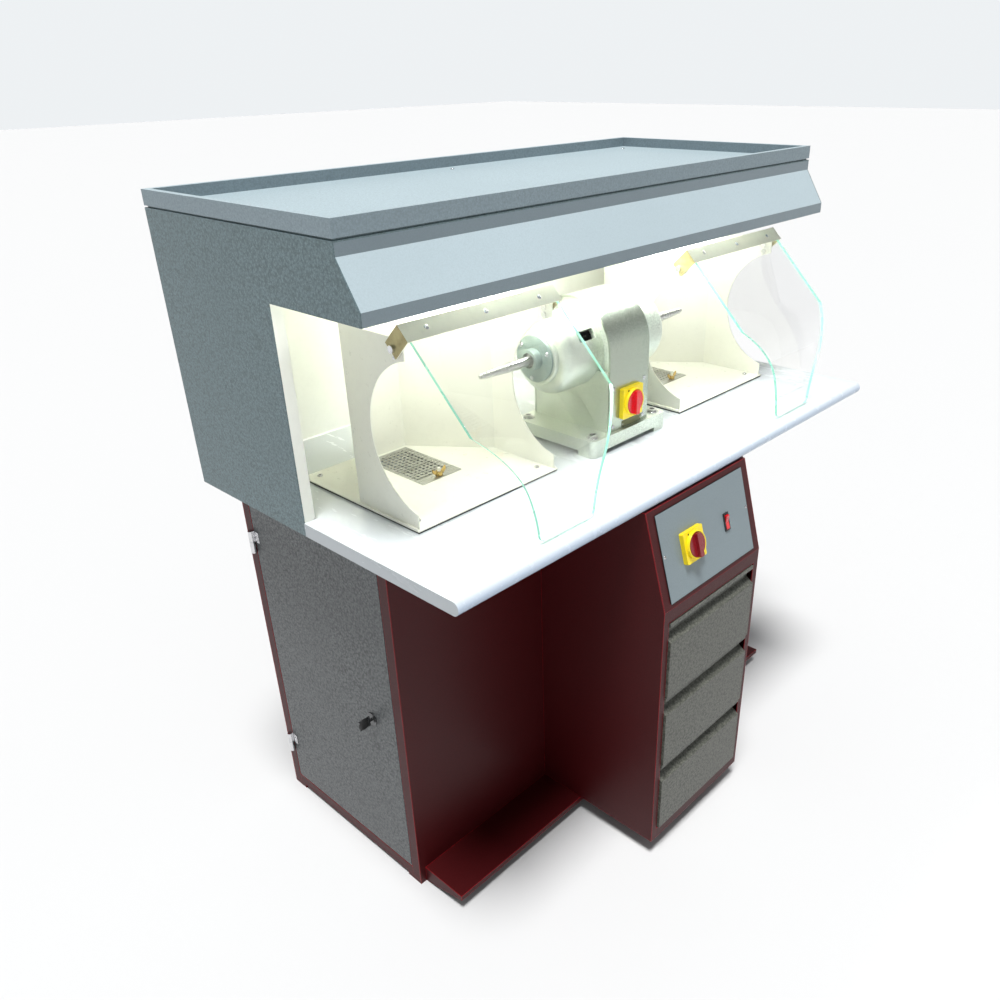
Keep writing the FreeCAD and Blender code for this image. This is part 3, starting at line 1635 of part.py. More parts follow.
def arch(name, radius, span):
    """Upright slab with a half-round top over the lathe axis."""
    points = [
        (lathe_y - radius, ledge),
        (lathe_y + radius, ledge),
        (lathe_y + radius, lathe_z),
        (lathe_y, lathe_z + radius),
        (lathe_y - radius, lathe_z),
    ]
    return prism(name, "X", points, span, {2: (radius, 1), 3: (radius, 1)})


cover_outer = arch("cover_outer", cover_radius, (-column_half, column_half))
cover_bead = arch("cover_bead", cover_radius + bead_proud, (-column_half, -column_half + bead_width))
cover_inner = arch(
    "cover_inner", cover_radius - cover_wall, (-column_half - overrun, column_half + overrun)
)
part(
    "lathe_cover",
    cut(
        "cover_cut", fuse("cover_blank", cover_outer, cover_bead),
        cover_inner, switch_hole("cover_switch_hole"),
    ),
)
lathe_plate = switch_plate("lathe_plate", lathe_switch_x, cover_face, lathe_switch_z)
lathe_boss = rod(
    "lathe_boss", "Y", (lathe_switch_x, lathe_switch_z), switch_boss_radius,
    (cover_face, cover_face + switch_boss_reach),
)
part("lathe_switch_plate", fuse("lathe_switch_fused", lathe_plate, lathe_boss))
part("lathe_switch_knob", switch_knob("lathe_knob", lathe_switch_x, cover_face, lathe_switch_z))

# End bells with a spigot in the barrel and a seat for the bearing; flanges with a hub ring
bearing_start = named("bearing_start", bearing_end - bearing_width)
bell_outline = [
    (neck_end, shoulder_radius),
    (neck_end, neck_radius - neck_round),
    (neck_end - neck_round, neck_radius),
    (bell_end, neck_radius),
    (bell_end, bell_end_radius),
    (barrel_half, barrel_radius),
    (barrel_half, barrel_bore - seat_gap),
    (barrel_half - spigot_length, barrel_bore - seat_gap),
    (barrel_half - spigot_length, barrel_bore - seat_gap - spigot_wall),
    (bell_end - bell_wall, bell_end_radius - bell_wall),
    (bell_end - bell_wall, bearing_radius),
    (bearing_end, bearing_radius),
    (bearing_end, shoulder_radius),
]
bell_right = move(
    turned("bell", bell_outline, {1: (neck_round, 1), 4: (bell_curve, 1)}), (0, lathe_y, lathe_z)
)
part("lathe_bells", group("bells", bell_right, mirrored("bell_left", bell_right)))
flange_outline = [
    (neck_end, hub_bore),
    (hub_end, hub_bore),
    (hub_end, hub_radius),
    (flange_end, hub_radius),
    (flange_end, flange_radius),
    (neck_end, flange_radius),
]
flange_right = move(turned("flange", flange_outline), (0, lathe_y, lathe_z))
part("lathe_flanges", group("flanges", flange_right, mirrored("flange_left", flange_right)))
bearing_outline = rectangle((bearing_start, bearing_end), (shaft_radius, bearing_radius - seat_gap))
bearing_right = move(turned("bearing", bearing_outline), (0, lathe_y, lathe_z))
part("lathe_bearings", group("bearings", bearing_right, mirrored("bearing_left", bearing_right)))

# Stator ring in the barrel; rotor and spindle in one piece
stator_outline = rectangle((-stator_half, stator_half), (stator_bore, barrel_bore - seat_gap))
part("lathe_stator", move(turned("stator", stator_outline), (0, lathe_y, lathe_z)))
journal = named("journal", shaft_radius - running_gap)
half_spindle = [
    (spindle_tip, 0),
    (spindle_tip, spindle_tip_radius - spindle_chamfer),
    (spindle_tip - spindle_chamfer, spindle_tip_radius),
    (spindle_root_end, spindle_taper),
    (spindle_root_end, spindle_root),
    (hub_end, spindle_root),
    (hub_end, spindle_collar),
    (spindle_step, spindle_collar),
    (spindle_step, journal),
    (rotor_half, journal),
    (rotor_half, rotor_radius),
]
other_half = [(-place, radius) for place, radius in reversed(half_spindle)]
spindle_body = turned("spindle", half_spindle + other_half)
part("lathe_spindle", move(spindle_body, (0, lathe_y, lathe_z)))

# Door in the left side of the cabinet, its two hinges and its cam lock
door_block = box(
    "door_block", (-cab_side, -cab_side + door_thickness),
    (door_front, door_rear), (door_bottom, door_top),
)
door_room = box(
    "door_room",
    (-cab_side + sheet_wall, -cab_side + door_thickness + overrun),
    (door_front + sheet_wall, door_rear - sheet_wall),
    (door_bottom + sheet_wall, door_top - sheet_wall),
)
lock_y = named("lock_y", door_front + lock_setback)
lock_z = named("lock_z", door_bottom + lock_height)
lock_inner = named("lock_inner", door_frame_back)
door_lock_hole = rod(
    "door_lock_hole", "X", (lock_y, lock_z), lock_radius + seat_gap,
    (-cab_side - overrun, -cab_side + overrun),
)
hinge_x = named("hinge_x", -cab_side - hinge_offset)
hinge_y = named("hinge_y", door_rear + hinge_setback)
door_knuckles = []
fixed_knuckles = []
for letter, low in (("low", door_bottom + hinge_low), ("high", door_bottom + hinge_high)):
    middle = low + hinge_length / 2
    high = low + hinge_length
    upper = rod(
        f"knuckle_{letter}_upper", "Z", (hinge_x, hinge_y), hinge_radius, (middle + seat_gap, high),
    )
    upper_bore = rod(
        f"knuckle_{letter}_bore", "Z", (hinge_x, hinge_y), hinge_pin + running_gap, (low, high + overrun)
    )
    door_leaf = box(
        f"door_leaf_{letter}",
        (-cab_side - leaf_wall, -cab_side),
        (hinge_y - leaf_width, hinge_y - leaf_back),
        (middle + seat_gap, high),
    )
    door_knuckles.append(
        cut(f"door_knuckle_{letter}", fuse(f"knuckle_{letter}_blank", upper, door_leaf), upper_bore)
    )
    lower = rod(f"knuckle_{letter}_lower", "Z", (hinge_x, hinge_y), hinge_radius, (low, middle))
    pin = rod(f"hinge_{letter}_pin", "Z", (hinge_x, hinge_y), hinge_pin, (low, high))
    fixed_leaf = box(
        f"fixed_leaf_{letter}",
        (-cab_side - leaf_wall, -cab_side),
        (hinge_y + leaf_back, hinge_y + leaf_width),
        (low, middle),
    )
    fixed_knuckles.append(fuse(f"fixed_knuckle_{letter}", lower, pin, fixed_leaf))
part("door_panel", cut("door_open", door_block, door_room, door_lock_hole))
part("door_hinges", group("hinge_moving", *door_knuckles))
part("cabinet_hinges", group("hinge_fixed", *fixed_knuckles))
lock_collar_rod = rod(
    "lock_collar_rod", "X", (lock_y, lock_z), lock_collar, (-cab_side - sheet_wall, -cab_side)
)
lock_barrel = rod("lock_barrel", "X", (lock_y, lock_z), lock_radius, (-cab_side - sheet_wall, lock_inner))
lock_nut = rod(
    "lock_nut", "X", (lock_y, lock_z), lock_collar,
    (-cab_side + sheet_wall, -cab_side + sheet_wall + lock_plug),
)
lock_bore = rod(
    "lock_bore", "X", (lock_y, lock_z), lock_plug + running_gap,
    (-cab_side - overrun, lock_inner + overrun),
)
part("door_lock", cut("lock_cut", fuse("lock_blank", lock_collar_rod, lock_barrel, lock_nut), lock_bore))
cam_start = named("cam_start", lock_inner + seat_gap)
plug_face = named("plug_face", -cab_side - sheet_wall)
lock_plug_rod = rod("lock_plug_rod", "X", (lock_y, lock_z), lock_plug, (plug_face, cam_start + cam_wall))
lock_cam = box(
    "lock_cam",
    (cam_start, cam_start + cam_wall),
    around(lock_y, 2 * cam_half),
    (lock_z - cam_half, lock_z + cam_reach),
)
key_rod = rod("key_rod", "X", (lock_y, lock_z), key_stem, (plug_face - key_stem_reach, plug_face))
key_bow = box(
    "key_bow",
    (plug_face - key_stem_reach - key_length, plug_face - key_stem_reach),
    around(lock_y, key_wall),
    around(lock_z, key_width),
)
part("lock_key", fuse("lock_key_fused", lock_plug_rod, lock_cam, key_rod, key_bow))

# Air chest under the worktop, filter bag below it, fan with its motor
chest_y = named("chest_y", chest_front + (chest_rear - chest_front) / 2)
chest_inner_x = (-chest_x + thin_wall, chest_x - thin_wall)
chest_inner_y = (chest_front + thin_wall, chest_rear - thin_wall)
chest_top_sheet = box(
    "chest_top_sheet", (-chest_x, chest_x), (chest_front, chest_rear),
    (bench_under - thin_wall, bench_under),
)
chest_holes = air_holes("chest_air_hole", (bench_under - thin_wall - overrun, bench_under + overrun))
chest_low_sheet = box(
    "chest_low_sheet", (-chest_x, chest_x), (chest_front, chest_rear),
    (chest_bottom, chest_bottom + thin_wall),
)
chest_wall_span = (chest_bottom + thin_wall, bench_under - thin_wall)
chest_walls = [
    box("chest_wall_front", (-chest_x, chest_x), (chest_front, chest_inner_y[0]), chest_wall_span),
    box("chest_wall_rear", (-chest_x, chest_x), (chest_inner_y[1], chest_rear), chest_wall_span),
    box("chest_wall_left", (-chest_x, chest_inner_x[0]), chest_inner_y, chest_wall_span),
    box("chest_wall_right", (chest_inner_x[1], chest_x), chest_inner_y, chest_wall_span),
]
outlet_radius = named("outlet_radius", chest_rear / 2 - chest_front / 2 - chest_margin)
outlet_bore_radius = named("outlet_bore_radius", outlet_radius - thin_wall)
outlet_ring = rod(
    "outlet_ring", "Z", (bag_x, chest_y), outlet_radius, (chest_bottom - collar_length, chest_bottom)
)
outlet_bore = rod(
    "outlet_bore", "Z", (bag_x, chest_y), outlet_bore_radius,
    (chest_bottom - collar_length - overrun, chest_bottom + overrun),
)
outlet_hole = rod(
    "outlet_hole", "Z", (bag_x, chest_y), outlet_bore_radius,
    (chest_bottom - overrun, chest_bottom + thin_wall + overrun),
)
part(
    "air_chest",
    group(
        "chest_sheets",
        cut("chest_top_open", chest_top_sheet, *chest_holes),
        cut("chest_low_open", chest_low_sheet, outlet_hole),
        cut("outlet_collar", outlet_ring, outlet_bore),
        *chest_walls,
    ),
)
bag_top = named("bag_top", chest_bottom - bag_drop + collar_length / 2)
bag_bottom = named("bag_bottom", bag_top - bag_length)
bag_outer = rod("bag_outer", "Z", (bag_x, chest_y), bag_radius, (bag_bottom, bag_top))
bag_inner = rod(
    "bag_inner", "Z", (bag_x, chest_y), bag_radius - bag_wall, (bag_bottom + bag_wall, bag_top - bag_wall)
)
bag_neck = rod(
    "bag_neck", "Z", (bag_x, chest_y), outlet_radius + seat_gap,
    (bag_top - bag_wall - overrun, bag_top + overrun),
)
part("filter_bag", cut("bag_open", bag_outer, bag_inner, bag_neck))

tongue_drop = named("tongue_drop", volute_end - outlet_height)


def volute(name, wall, reach, span):
    """Snail outline of the fan with a straight outlet to the rear, set inwards by a wall."""
    start = volute_start - wall
    low = fan_z - volute_end + wall
    high = low + outlet_height - 2 * wall
    run = root(start * start - (tongue_drop + wall) * (tongue_drop + wall))
    exit_y = cab_rear - sheet_wall + reach
    points = [
        (exit_y, low),
        (exit_y, high),
        (fan_y + run, high),
        (fan_y + start, fan_z),
        (fan_y, fan_z + start + volute_growth),
        (fan_y - start - 2 * volute_growth, fan_z),
        (fan_y, low),
    ]
    arcs = {
        2: (start, 1),
        3: (start + volute_growth / 2, 1),
        4: (start + volute_growth + volute_growth / 2, 1),
        5: (start + 2 * volute_growth + volute_growth / 2, 1),
    }
    return prism(name, "X", points, span, arcs)


blade_count = 12
fan_end = named("fan_end", fan_x + fan_width)
volute_shell = volute("volute_shell", 0, 0, (fan_x, fan_end))
volute_room = volute("volute_room", fan_wall, overrun, (fan_x + fan_wall, fan_end - fan_wall))
inlet_hole = rod(
    "inlet_hole", "X", (fan_y, fan_z), inlet_radius, (fan_x - overrun, fan_x + fan_wall + overrun)
)
shaft_hole = rod(
    "shaft_hole", "X", (fan_y, fan_z), impeller_hub, (fan_end - fan_wall - overrun, fan_end + overrun)
)
part("fan_housing", cut("fan_cut", volute_shell, volute_room, inlet_hole, shaft_hole))
motor_block = rod("motor_block", "X", (fan_y, fan_z), motor_radius, (fan_end, fan_end + motor_length))
motor_bore = rod(
    "motor_bore", "X", (fan_y, fan_z), impeller_shaft + running_gap,
    (fan_end - overrun, fan_end + motor_bore_depth),
)
part("fan_motor", cut("motor_cut", motor_block, motor_bore))


def impeller_blades(name, disc_start, blade_start):
    """Back disc with one blade repeated round the axis by a polar pattern."""
    body = doc.addObject("PartDesign::Body", name)
    half_disc = [(-impeller_radius, 0), (0, -impeller_radius), (impeller_radius, 0), (0, impeller_radius)]
    arcs = {index: (impeller_radius, 1) for index in range(len(half_disc))}
    disc_sketch = outline(body, name + "_disc", "YZ_Plane", disc_start, half_disc, arcs)
    disc = body.newObject("PartDesign::Pad", name + "_disc_pad")
    disc.Profile = disc_sketch
    bind(disc, "Length", impeller_wall)
    blade_inner = impeller_radius - blade_depth + blade_wall
    blade_points = rectangle((blade_inner, impeller_radius - blade_wall / 2), around(0, blade_wall))
    blade_sketch = outline(body, name + "_blade", "YZ_Plane", blade_start, blade_points)
    blade = body.newObject("PartDesign::Pad", name + "_blade_pad")
    blade.Profile = blade_sketch
    bind(blade, "Length", disc_start + impeller_wall - blade_start)
    pattern = body.newObject("PartDesign::PolarPattern", name + "_round")
    pattern.Originals = [blade]
    pattern.Axis = (origin_piece(body, "X_Axis"), [""])
    pattern.Angle = 360
    pattern.Occurrences = blade_count
    body.Tip = pattern
    return body


disc_x = named("disc_x", fan_end - impeller_inset - impeller_wall)
ring_x = named("ring_x", fan_x + impeller_inset)
blades = impeller_blades("impeller", disc_x, ring_x)
ring_outer = rod("ring_outer", "X", (0, 0), impeller_radius, (ring_x, ring_x + impeller_wall))
ring_inner = rod(
    "ring_inner", "X", (0, 0), impeller_radius - blade_depth, (ring_x - overrun, ring_x + overrun)
)
wheel_ring = cut("wheel_ring", ring_outer, ring_inner)
wheel_hub = rod(
    "wheel_hub", "X", (0, 0), impeller_hub - impeller_wall,
    (disc_x - impeller_hub_length, disc_x + impeller_wall),
)
wheel_shaft = rod(
    "wheel_shaft", "X", (0, 0), impeller_shaft, (disc_x, fan_end + motor_bore_depth - seat_gap)
)
part("fan_impeller", move(fuse("wheel", blades, wheel_ring, wheel_hub, wheel_shaft), (0, fan_y, fan_z)))

# Every sub-part is checked before its file is written
doc.recompute()
problems = []
for item in doc.Objects:
    if "Invalid" in item.State or "Error" in item.State:
        problems.append(f"{item.Name} is in state {item.State}")
for item in nodes:
    if item.Shape.isNull() or not item.Shape.isValid() or not item.Shape.Solids:
        problems.append(f"{item.Label} has no sound shape")
if problems:
    raise RuntimeError("; ".join(problems))
os.makedirs("parts", exist_ok=True)
for item in nodes:
    item.Shape.exportStep(f"parts/{item.Label}.step")
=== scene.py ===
"""Looks of the polishing bench: paints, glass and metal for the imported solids, and small fittings on them.

Lengths are in millimetres until a mesh is made. X runs to the operator's right, the front faces minus Y and
Z is up.
"""

import json
import math

import bmesh
import bpy
import numpy as np
from mathutils import Matrix, Vector


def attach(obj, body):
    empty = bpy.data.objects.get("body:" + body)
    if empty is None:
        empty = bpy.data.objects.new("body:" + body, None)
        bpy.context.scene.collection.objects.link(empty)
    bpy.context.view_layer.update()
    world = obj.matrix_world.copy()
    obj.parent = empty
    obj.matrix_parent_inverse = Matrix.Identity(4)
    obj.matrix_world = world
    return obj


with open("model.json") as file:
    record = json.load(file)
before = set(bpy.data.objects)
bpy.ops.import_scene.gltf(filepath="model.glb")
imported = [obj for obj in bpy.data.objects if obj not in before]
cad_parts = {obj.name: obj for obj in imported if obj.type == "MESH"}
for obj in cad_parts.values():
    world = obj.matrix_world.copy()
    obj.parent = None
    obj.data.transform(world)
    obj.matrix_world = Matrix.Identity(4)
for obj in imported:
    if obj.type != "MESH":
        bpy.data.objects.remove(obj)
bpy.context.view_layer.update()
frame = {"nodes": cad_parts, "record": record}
nodes = frame["nodes"]
MM = 0.001
SUNK = 0.4  # how far a screw head stands in the face that carries it


class Shader:
    """A node material with short ways to add textures and join them."""

    def __init__(self, name, colour, rough, **sockets):
        self.material = bpy.data.materials.new(name)
        self.material.use_nodes = True
        self.tree = self.material.node_tree
        self.surface = self.tree.nodes["Principled BSDF"]
        self.surface.inputs["Base Color"].default_value = (*colour, 1)
        self.surface.inputs["Roughness"].default_value = rough
        for socket, value in sockets.items():
            self.surface.inputs[socket.replace("_", " ")].default_value = value
        self.place = self.add("ShaderNodeTexCoord").outputs["Object"]

    def add(self, kind, **settings):
        node = self.tree.nodes.new(kind)
        for key, value in settings.items():
            setattr(node, key, value)
        return node

    def link(self, source, target):
        self.tree.links.new(source, target)

    def noise(self, scale, detail=3.0, rough=0.5, stretch=None):
        """Noise from 0 to 1, with features of about 1/scale metres."""
        node = self.add("ShaderNodeTexNoise")
        node.inputs["Scale"].default_value = scale
        node.inputs["Detail"].default_value = detail
        node.inputs["Roughness"].default_value = rough
        self.link(self.stretched(stretch) if stretch else self.place, node.inputs["Vector"])
        return node.outputs["Fac"]

    def stretched(self, factors):
        """The object's coordinates with each axis scaled."""
        node = self.add("ShaderNodeMapping")
        node.inputs["Scale"].default_value = factors
        self.link(self.place, node.inputs["Vector"])
        return node.outputs["Vector"]

    def cells(self, scale):
        """Distance to the nearest centre of rounded cells, about 1/scale metres across."""
        node = self.add("ShaderNodeTexVoronoi", feature="SMOOTH_F1")
        node.inputs["Scale"].default_value = scale
        node.inputs["Smoothness"].default_value = 0.6
        self.link(self.place, node.inputs["Vector"])
        return node.outputs["Distance"]

    def facing(self):
        """The surface's own direction as three numbers."""
        node = self.add("ShaderNodeSeparateXYZ")
        self.link(self.add("ShaderNodeTexCoord").outputs["Normal"], node.inputs[0])
        return node.outputs

    def maths(self, operation, first, second=None):
        node = self.add("ShaderNodeMath", operation=operation)
        for item, socket in ((first, node.inputs[0]), (second, node.inputs[1])):
            if isinstance(item, bpy.types.NodeSocket):
                self.link(item, socket)
            elif item is not None:
                socket.default_value = item
        return node.outputs[0]

    def span(self, source, low, high, start=0.0, stop=1.0):
        """A value between two limits becomes a value between two others."""
        node = self.add("ShaderNodeMapRange")
        for socket, value in zip(("From Min", "From Max", "To Min", "To Max"), (start, stop, low, high)):
            node.inputs[socket].default_value = value
        self.link(source, node.inputs["Value"])
        return node.outputs["Result"]

    def mix(self, share, first, second, mode="MIX"):
        """One colour over another, by a share that is a number or a texture."""
        node = self.add("ShaderNodeMix", data_type="RGBA", blend_type=mode)
        for item, socket in ((share, node.inputs[0]), (first, node.inputs[6]), (second, node.inputs[7])):
            if isinstance(item, bpy.types.NodeSocket):
                self.link(item, socket)
            else:
                socket.default_value = (*item, 1) if isinstance(item, tuple) else item
        return node.outputs[2]

    def colour(self, source):
        self.link(source, self.surface.inputs["Base Color"])
        return self

    def rough(self, source):
        self.link(source, self.surface.inputs["Roughness"])
        return self

    def edges(self, reach):
        """Share of an edge near a point, 0 on a flat, 1 on a corner, from how far a rounded normal turns; it
        places painted edge highlights.
        """
        ease = self.add("ShaderNodeBevel", samples=4)
        ease.inputs["Radius"].default_value = reach * MM
        near = self.add("ShaderNodeVectorMath", operation="DOT_PRODUCT")
        self.link(ease.outputs["Normal"], near.inputs[0])
        self.link(self.add("ShaderNodeNewGeometry").outputs["True Normal"], near.inputs[1])
        return self.span(near.outputs["Value"], 1.0, 0.0, 0.72, 0.995)

    def bumps(self, *layers, ease=0.7):
        """Adds bump layers, each (height source, depth in millimetres, strength), on slightly eased edges."""
        node = self.add("ShaderNodeBevel", samples=4)
        node.inputs["Radius"].default_value = ease * MM
        normal = node.outputs["Normal"]
        for height, depth, strength in layers:
            node = self.add("ShaderNodeBump")
            node.inputs["Distance"].default_value = depth * MM
            node.inputs["Strength"].default_value = strength
            self.link(height, node.inputs["Height"])
            self.link(normal, node.inputs["Normal"])
            normal = node.outputs["Normal"]
        self.link(normal, self.surface.inputs["Normal"])
        return self


def rgb(red, green, blue):
    """Screen values from 0 to 255 as linear light."""
    shares = (value / 255 for value in (red, green, blue))
    return tuple(v / 12.92 if v < 0.0392 else ((v + 0.055) / 1.055) ** 2.4 for v in shares)


def shade(colour, factor):
    return tuple(min(1.0, factor * v) for v in colour)


def hammered(name, colour, grain, rough, coat=0.12, metallic=0.0, depth=0.12, spread=0.3, edge=1.25,
             rim=None, reach=1.2, gloss=0.5, upright=None, level=0.9):
    """Hammered enamel: dimples and flecks lighter or darker by spread, faint clouds, and painted highlights
    that lighten the edges.

    The grain, depth and reach are in millimetres. A painted shade given as upright darkens faces steeper than
    level.
    """
    paint = Shader(name, colour, rough, Coat_Weight=coat, Coat_Roughness=0.22, Metallic=metallic)
    paint.surface.inputs["Specular IOR Level"].default_value = gloss
    dimples = paint.cells(1 / (grain * MM))
    flecks = paint.noise(1 / (0.45 * grain * MM), 3.0, 0.6)
    clouds = paint.noise(4.0, 3.0)
    light, dark = shade(colour, 1 + spread), shade(colour, 1 - spread)
    base = paint.mix(paint.span(dimples, 0.0, 1.0, 0.15, 0.8), light, dark)
    base = paint.mix(paint.span(flecks, 0.0, 0.6, 0.5, 0.66), base, shade(colour, 1 - 1.8 * spread))
    base = paint.mix(paint.span(flecks, 0.5, 0.0, 0.3, 0.42), base, shade(colour, 1 + 1.8 * spread))
    base = paint.mix(paint.span(clouds, 0.0, 0.35, 0.35, 0.7), base, shade(colour, 0.88))
    # Painted highlight: edges lighter by the edge factor, or in the rim colour where one is given.
    base = paint.mix(paint.maths("MULTIPLY", paint.edges(reach), 0.7), base, rim or shade(colour, edge))
    # Painted shade: faces steeper than level are multiplied by the upright colour, while lying faces stay
    # lit.
    if upright:
        lying = paint.span(paint.facing()[2], 0.0, 1.0, level - 0.08, level)
        base = paint.mix(lying, paint.mix(1.0, base, upright, "MULTIPLY"), base)
    paint.colour(base)
    paint.rough(paint.span(flecks, rough - 0.06, rough + 0.1, 0.3, 0.7))
    return paint.bumps((dimples, depth, 0.3), (flecks, depth / 3, 0.2)).material


def enamel(name, colour, rough=0.35, coat=0.25):
    """Smooth enamel or laminate with a fine orange peel, faint clouds and a little dust in its gloss."""
    paint = Shader(name, colour, rough, Coat_Weight=coat, Coat_Roughness=0.15)
    clouds = paint.noise(3.0, 4.0, 0.6)
    fine = paint.noise(420.0, 2.0)
    dust = paint.noise(60.0, 5.0, 0.7)
    base = paint.mix(paint.span(clouds, 0.0, 0.6, 0.4, 0.75), colour, shade(colour, 0.9))
    base = paint.mix(paint.span(dust, 0.0, 0.25, 0.5, 0.8), base, shade(colour, 0.84))
    paint.colour(base)
    paint.rough(paint.span(dust, rough - 0.05, rough + 0.15, 0.35, 0.75))
    return paint.bumps((fine, 0.04, 0.4)).material


def worktop_laminate(name):
    """White laminate whose sawn end has a grey edge band; faces turned away from up, the rounded front edge
    among them, carry a painted bluish shade.
    """
    board = Shader(name, rgb(206, 212, 215), 0.24, Coat_Weight=0.4, Coat_Roughness=0.1)
    clouds = board.noise(2.4, 4.0, 0.6)
    scuffs = board.noise(1.0, 4.0, 0.7, (30.0, 6.0, 30.0))
    facing = board.facing()
    end = board.span(board.maths("ABSOLUTE", facing[0]), 0.0, 1.0, 0.6, 0.8)
    # Painted shade: faces turned away from up grow darker and bluer.
    painted_shade_side = board.span(facing[2], 1.0, 0.0, 0.2, 0.97)
    base = board.mix(board.span(clouds, 0.0, 0.5, 0.4, 0.75), rgb(206, 212, 215), rgb(196, 203, 207))
    base = board.mix(board.span(scuffs, 0.0, 0.25, 0.62, 0.8), base, rgb(186, 194, 200))
    base = board.mix(painted_shade_side, base, rgb(176, 190, 208))
    base = board.mix(end, base, rgb(170, 176, 180))
    board.colour(base)
    board.rough(board.span(scuffs, 0.2, 0.36, 0.4, 0.8))
    return board.bumps((board.noise(500.0, 2.0), 0.01, 0.3)).material


def ground(name, colour):
    """Ground or drawn metal with fine lines along X."""
    rough = 0.28
    metal = Shader(name, colour, rough, Metallic=1.0)
    lines = metal.noise(1.0, 3.0, 0.6, (4.0, 400.0, 400.0))
    stains = metal.noise(40.0, 4.0, 0.6)
    base = metal.mix(metal.span(stains, 0.0, 0.5, 0.45, 0.75), colour, shade(colour, 0.7))
    # Painted highlight: edges lighter than the flats.
    metal.colour(metal.mix(metal.maths("MULTIPLY", metal.edges(0.8), 0.7), base, shade(colour, 1.3)))
    metal.rough(metal.span(lines, rough - 0.1, rough + 0.15, 0.3, 0.7))
    return metal.bumps((lines, 0.02, 0.3), ease=0.4).material


def plated(name, colour, rough=0.14):
    """Bright plate with faint clouds in its polish."""
    metal = Shader(name, colour, rough, Metallic=1.0)
    clouds = metal.noise(90.0, 3.0)
    metal.colour(metal.mix(metal.span(clouds, 0.0, 0.4, 0.4, 0.7), colour, shade(colour, 0.72)))
    metal.rough(metal.span(clouds, rough - 0.04, rough + 0.12, 0.35, 0.7))
    return metal.bumps((clouds, 0.01, 0.2), ease=0.3).material


def moulded(name, colour, rough=0.35, coat=0.1):
    """Moulded plastic with a fine spark-eroded texture and painted highlights that lighten its edges."""
    plastic = Shader(name, colour, rough, Coat_Weight=coat, Coat_Roughness=0.2)
    grain = plastic.noise(900.0, 3.0)
    wear = plastic.noise(70.0, 4.0)
    base = plastic.mix(plastic.span(wear, 0.0, 0.3, 0.45, 0.75), colour, shade(colour, 0.65))
    # Painted highlight: edges lighter than the faces.
    plastic.colour(plastic.mix(plastic.maths("MULTIPLY", plastic.edges(0.8), 0.35), base, shade(colour, 1.4)))
    plastic.rough(plastic.span(grain, rough - 0.06, rough + 0.1, 0.3, 0.7))
    return plastic.bumps((grain, 0.03, 0.3), ease=0.8).material


def bracket_paint(name):
    """Cream enamel on the web, and a darker khaki colour, partly metallic, on faces turned along X, which are
    the two end cheeks.
    """
    sheet = Shader(name, rgb(238, 238, 220), 0.34, Coat_Weight=0.2)
    stains = sheet.noise(60.0, 4.0, 0.6)
    cheek = sheet.span(sheet.maths("ABSOLUTE", sheet.facing()[0]), 0.0, 1.0, 0.8, 0.9)
    # Khaki colour with stains for the faces turned along X.
    zinc = sheet.mix(sheet.span(stains, 0.0, 0.6, 0.4, 0.7), rgb(172, 162, 118), rgb(132, 120, 80))
    paint = sheet.mix(sheet.span(stains, 0.0, 0.3, 0.5, 0.8), rgb(238, 238, 220), rgb(214, 214, 194))
    sheet.colour(sheet.mix(cheek, paint, zinc))
    sheet.rough(sheet.span(stains, 0.28, 0.44, 0.35, 0.7))
    sheet.link(sheet.span(cheek, 0.0, 0.7), sheet.surface.inputs["Metallic"])
    return sheet.bumps((sheet.noise(420.0, 2.0), 0.03, 0.3)).material


def clear_glass(name):
    """Sheet glass: clear faces, and edges where the green of its depth shows."""
    glass = Shader(name, rgb(244, 252, 249), 0.02, Transmission_Weight=1.0, IOR=1.5)
    x, y, z = glass.facing()
    side = glass.span(glass.maths("ABSOLUTE", x), 0.0, 1.0, 0.05, 0.12)
    foot = glass.span(z, 1.0, 0.0, -0.97, -0.9)
    top = glass.maths("MULTIPLY", glass.span(y, 0.0, 1.0, 0.5, 0.6), glass.span(z, 0.0, 1.0, 0.5, 0.6))
    edge = glass.maths("MAXIMUM", glass.maths("MAXIMUM", side, foot), top)
    smears = glass.noise(14.0, 4.0, 0.7)
    glass.colour(glass.mix(edge, rgb(246, 252, 250), rgb(150, 232, 204)))
    glass.rough(glass.maths("ADD", glass.span(edge, 0.0, 0.25), glass.span(smears, 0.01, 0.07, 0.45, 0.75)))
    glass.link(glass.span(edge, 1.0, 0.25), glass.surface.inputs["Transmission Weight"])
    glass.link(glass.span(edge, 0.12, 1.0), glass.surface.inputs["Alpha"])
    return glass.material


def glowing_tube(name):
    """Opal lamp tube that glows, a little duller towards its two ends."""
    tube = Shader(name, rgb(250, 250, 246), 0.2, Emission_Strength=6.0)
    place = tube.add("ShaderNodeSeparateXYZ")
    tube.link(tube.place, place.inputs[0])
    end = tube.span(tube.maths("ABSOLUTE", place.outputs[0]), 0.0, 1.0, 0.36, 0.43)
    glow = tube.mix(end, rgb(255, 253, 244), rgb(210, 200, 178))
    tube.link(glow, tube.surface.inputs["Emission Color"])
    tube.colour(glow)
    return tube.bumps((tube.noise(300.0), 0.01, 0.2)).material


def filter_felt(name):
    """Needled filter felt: short fibres, and dust that darkens it in clouds."""
    cloth = Shader(name, rgb(222, 218, 204), 0.95, Sheen_Weight=0.4)
    fibres = cloth.noise(1.0, 4.0, 0.7, (900.0, 900.0, 240.0))
    dust = cloth.noise(9.0, 5.0, 0.65)
    base = cloth.mix(cloth.span(fibres, 0.0, 0.5, 0.4, 0.7), rgb(224, 220, 206), rgb(186, 180, 164))
    cloth.colour(cloth.mix(cloth.span(dust, 0.0, 0.55, 0.42, 0.75), base, rgb(150, 142, 124)))
    cloth.rough(cloth.span(fibres, 0.88, 1.0, 0.3, 0.7))
    return cloth.bumps((fibres, 0.5, 0.5)).material


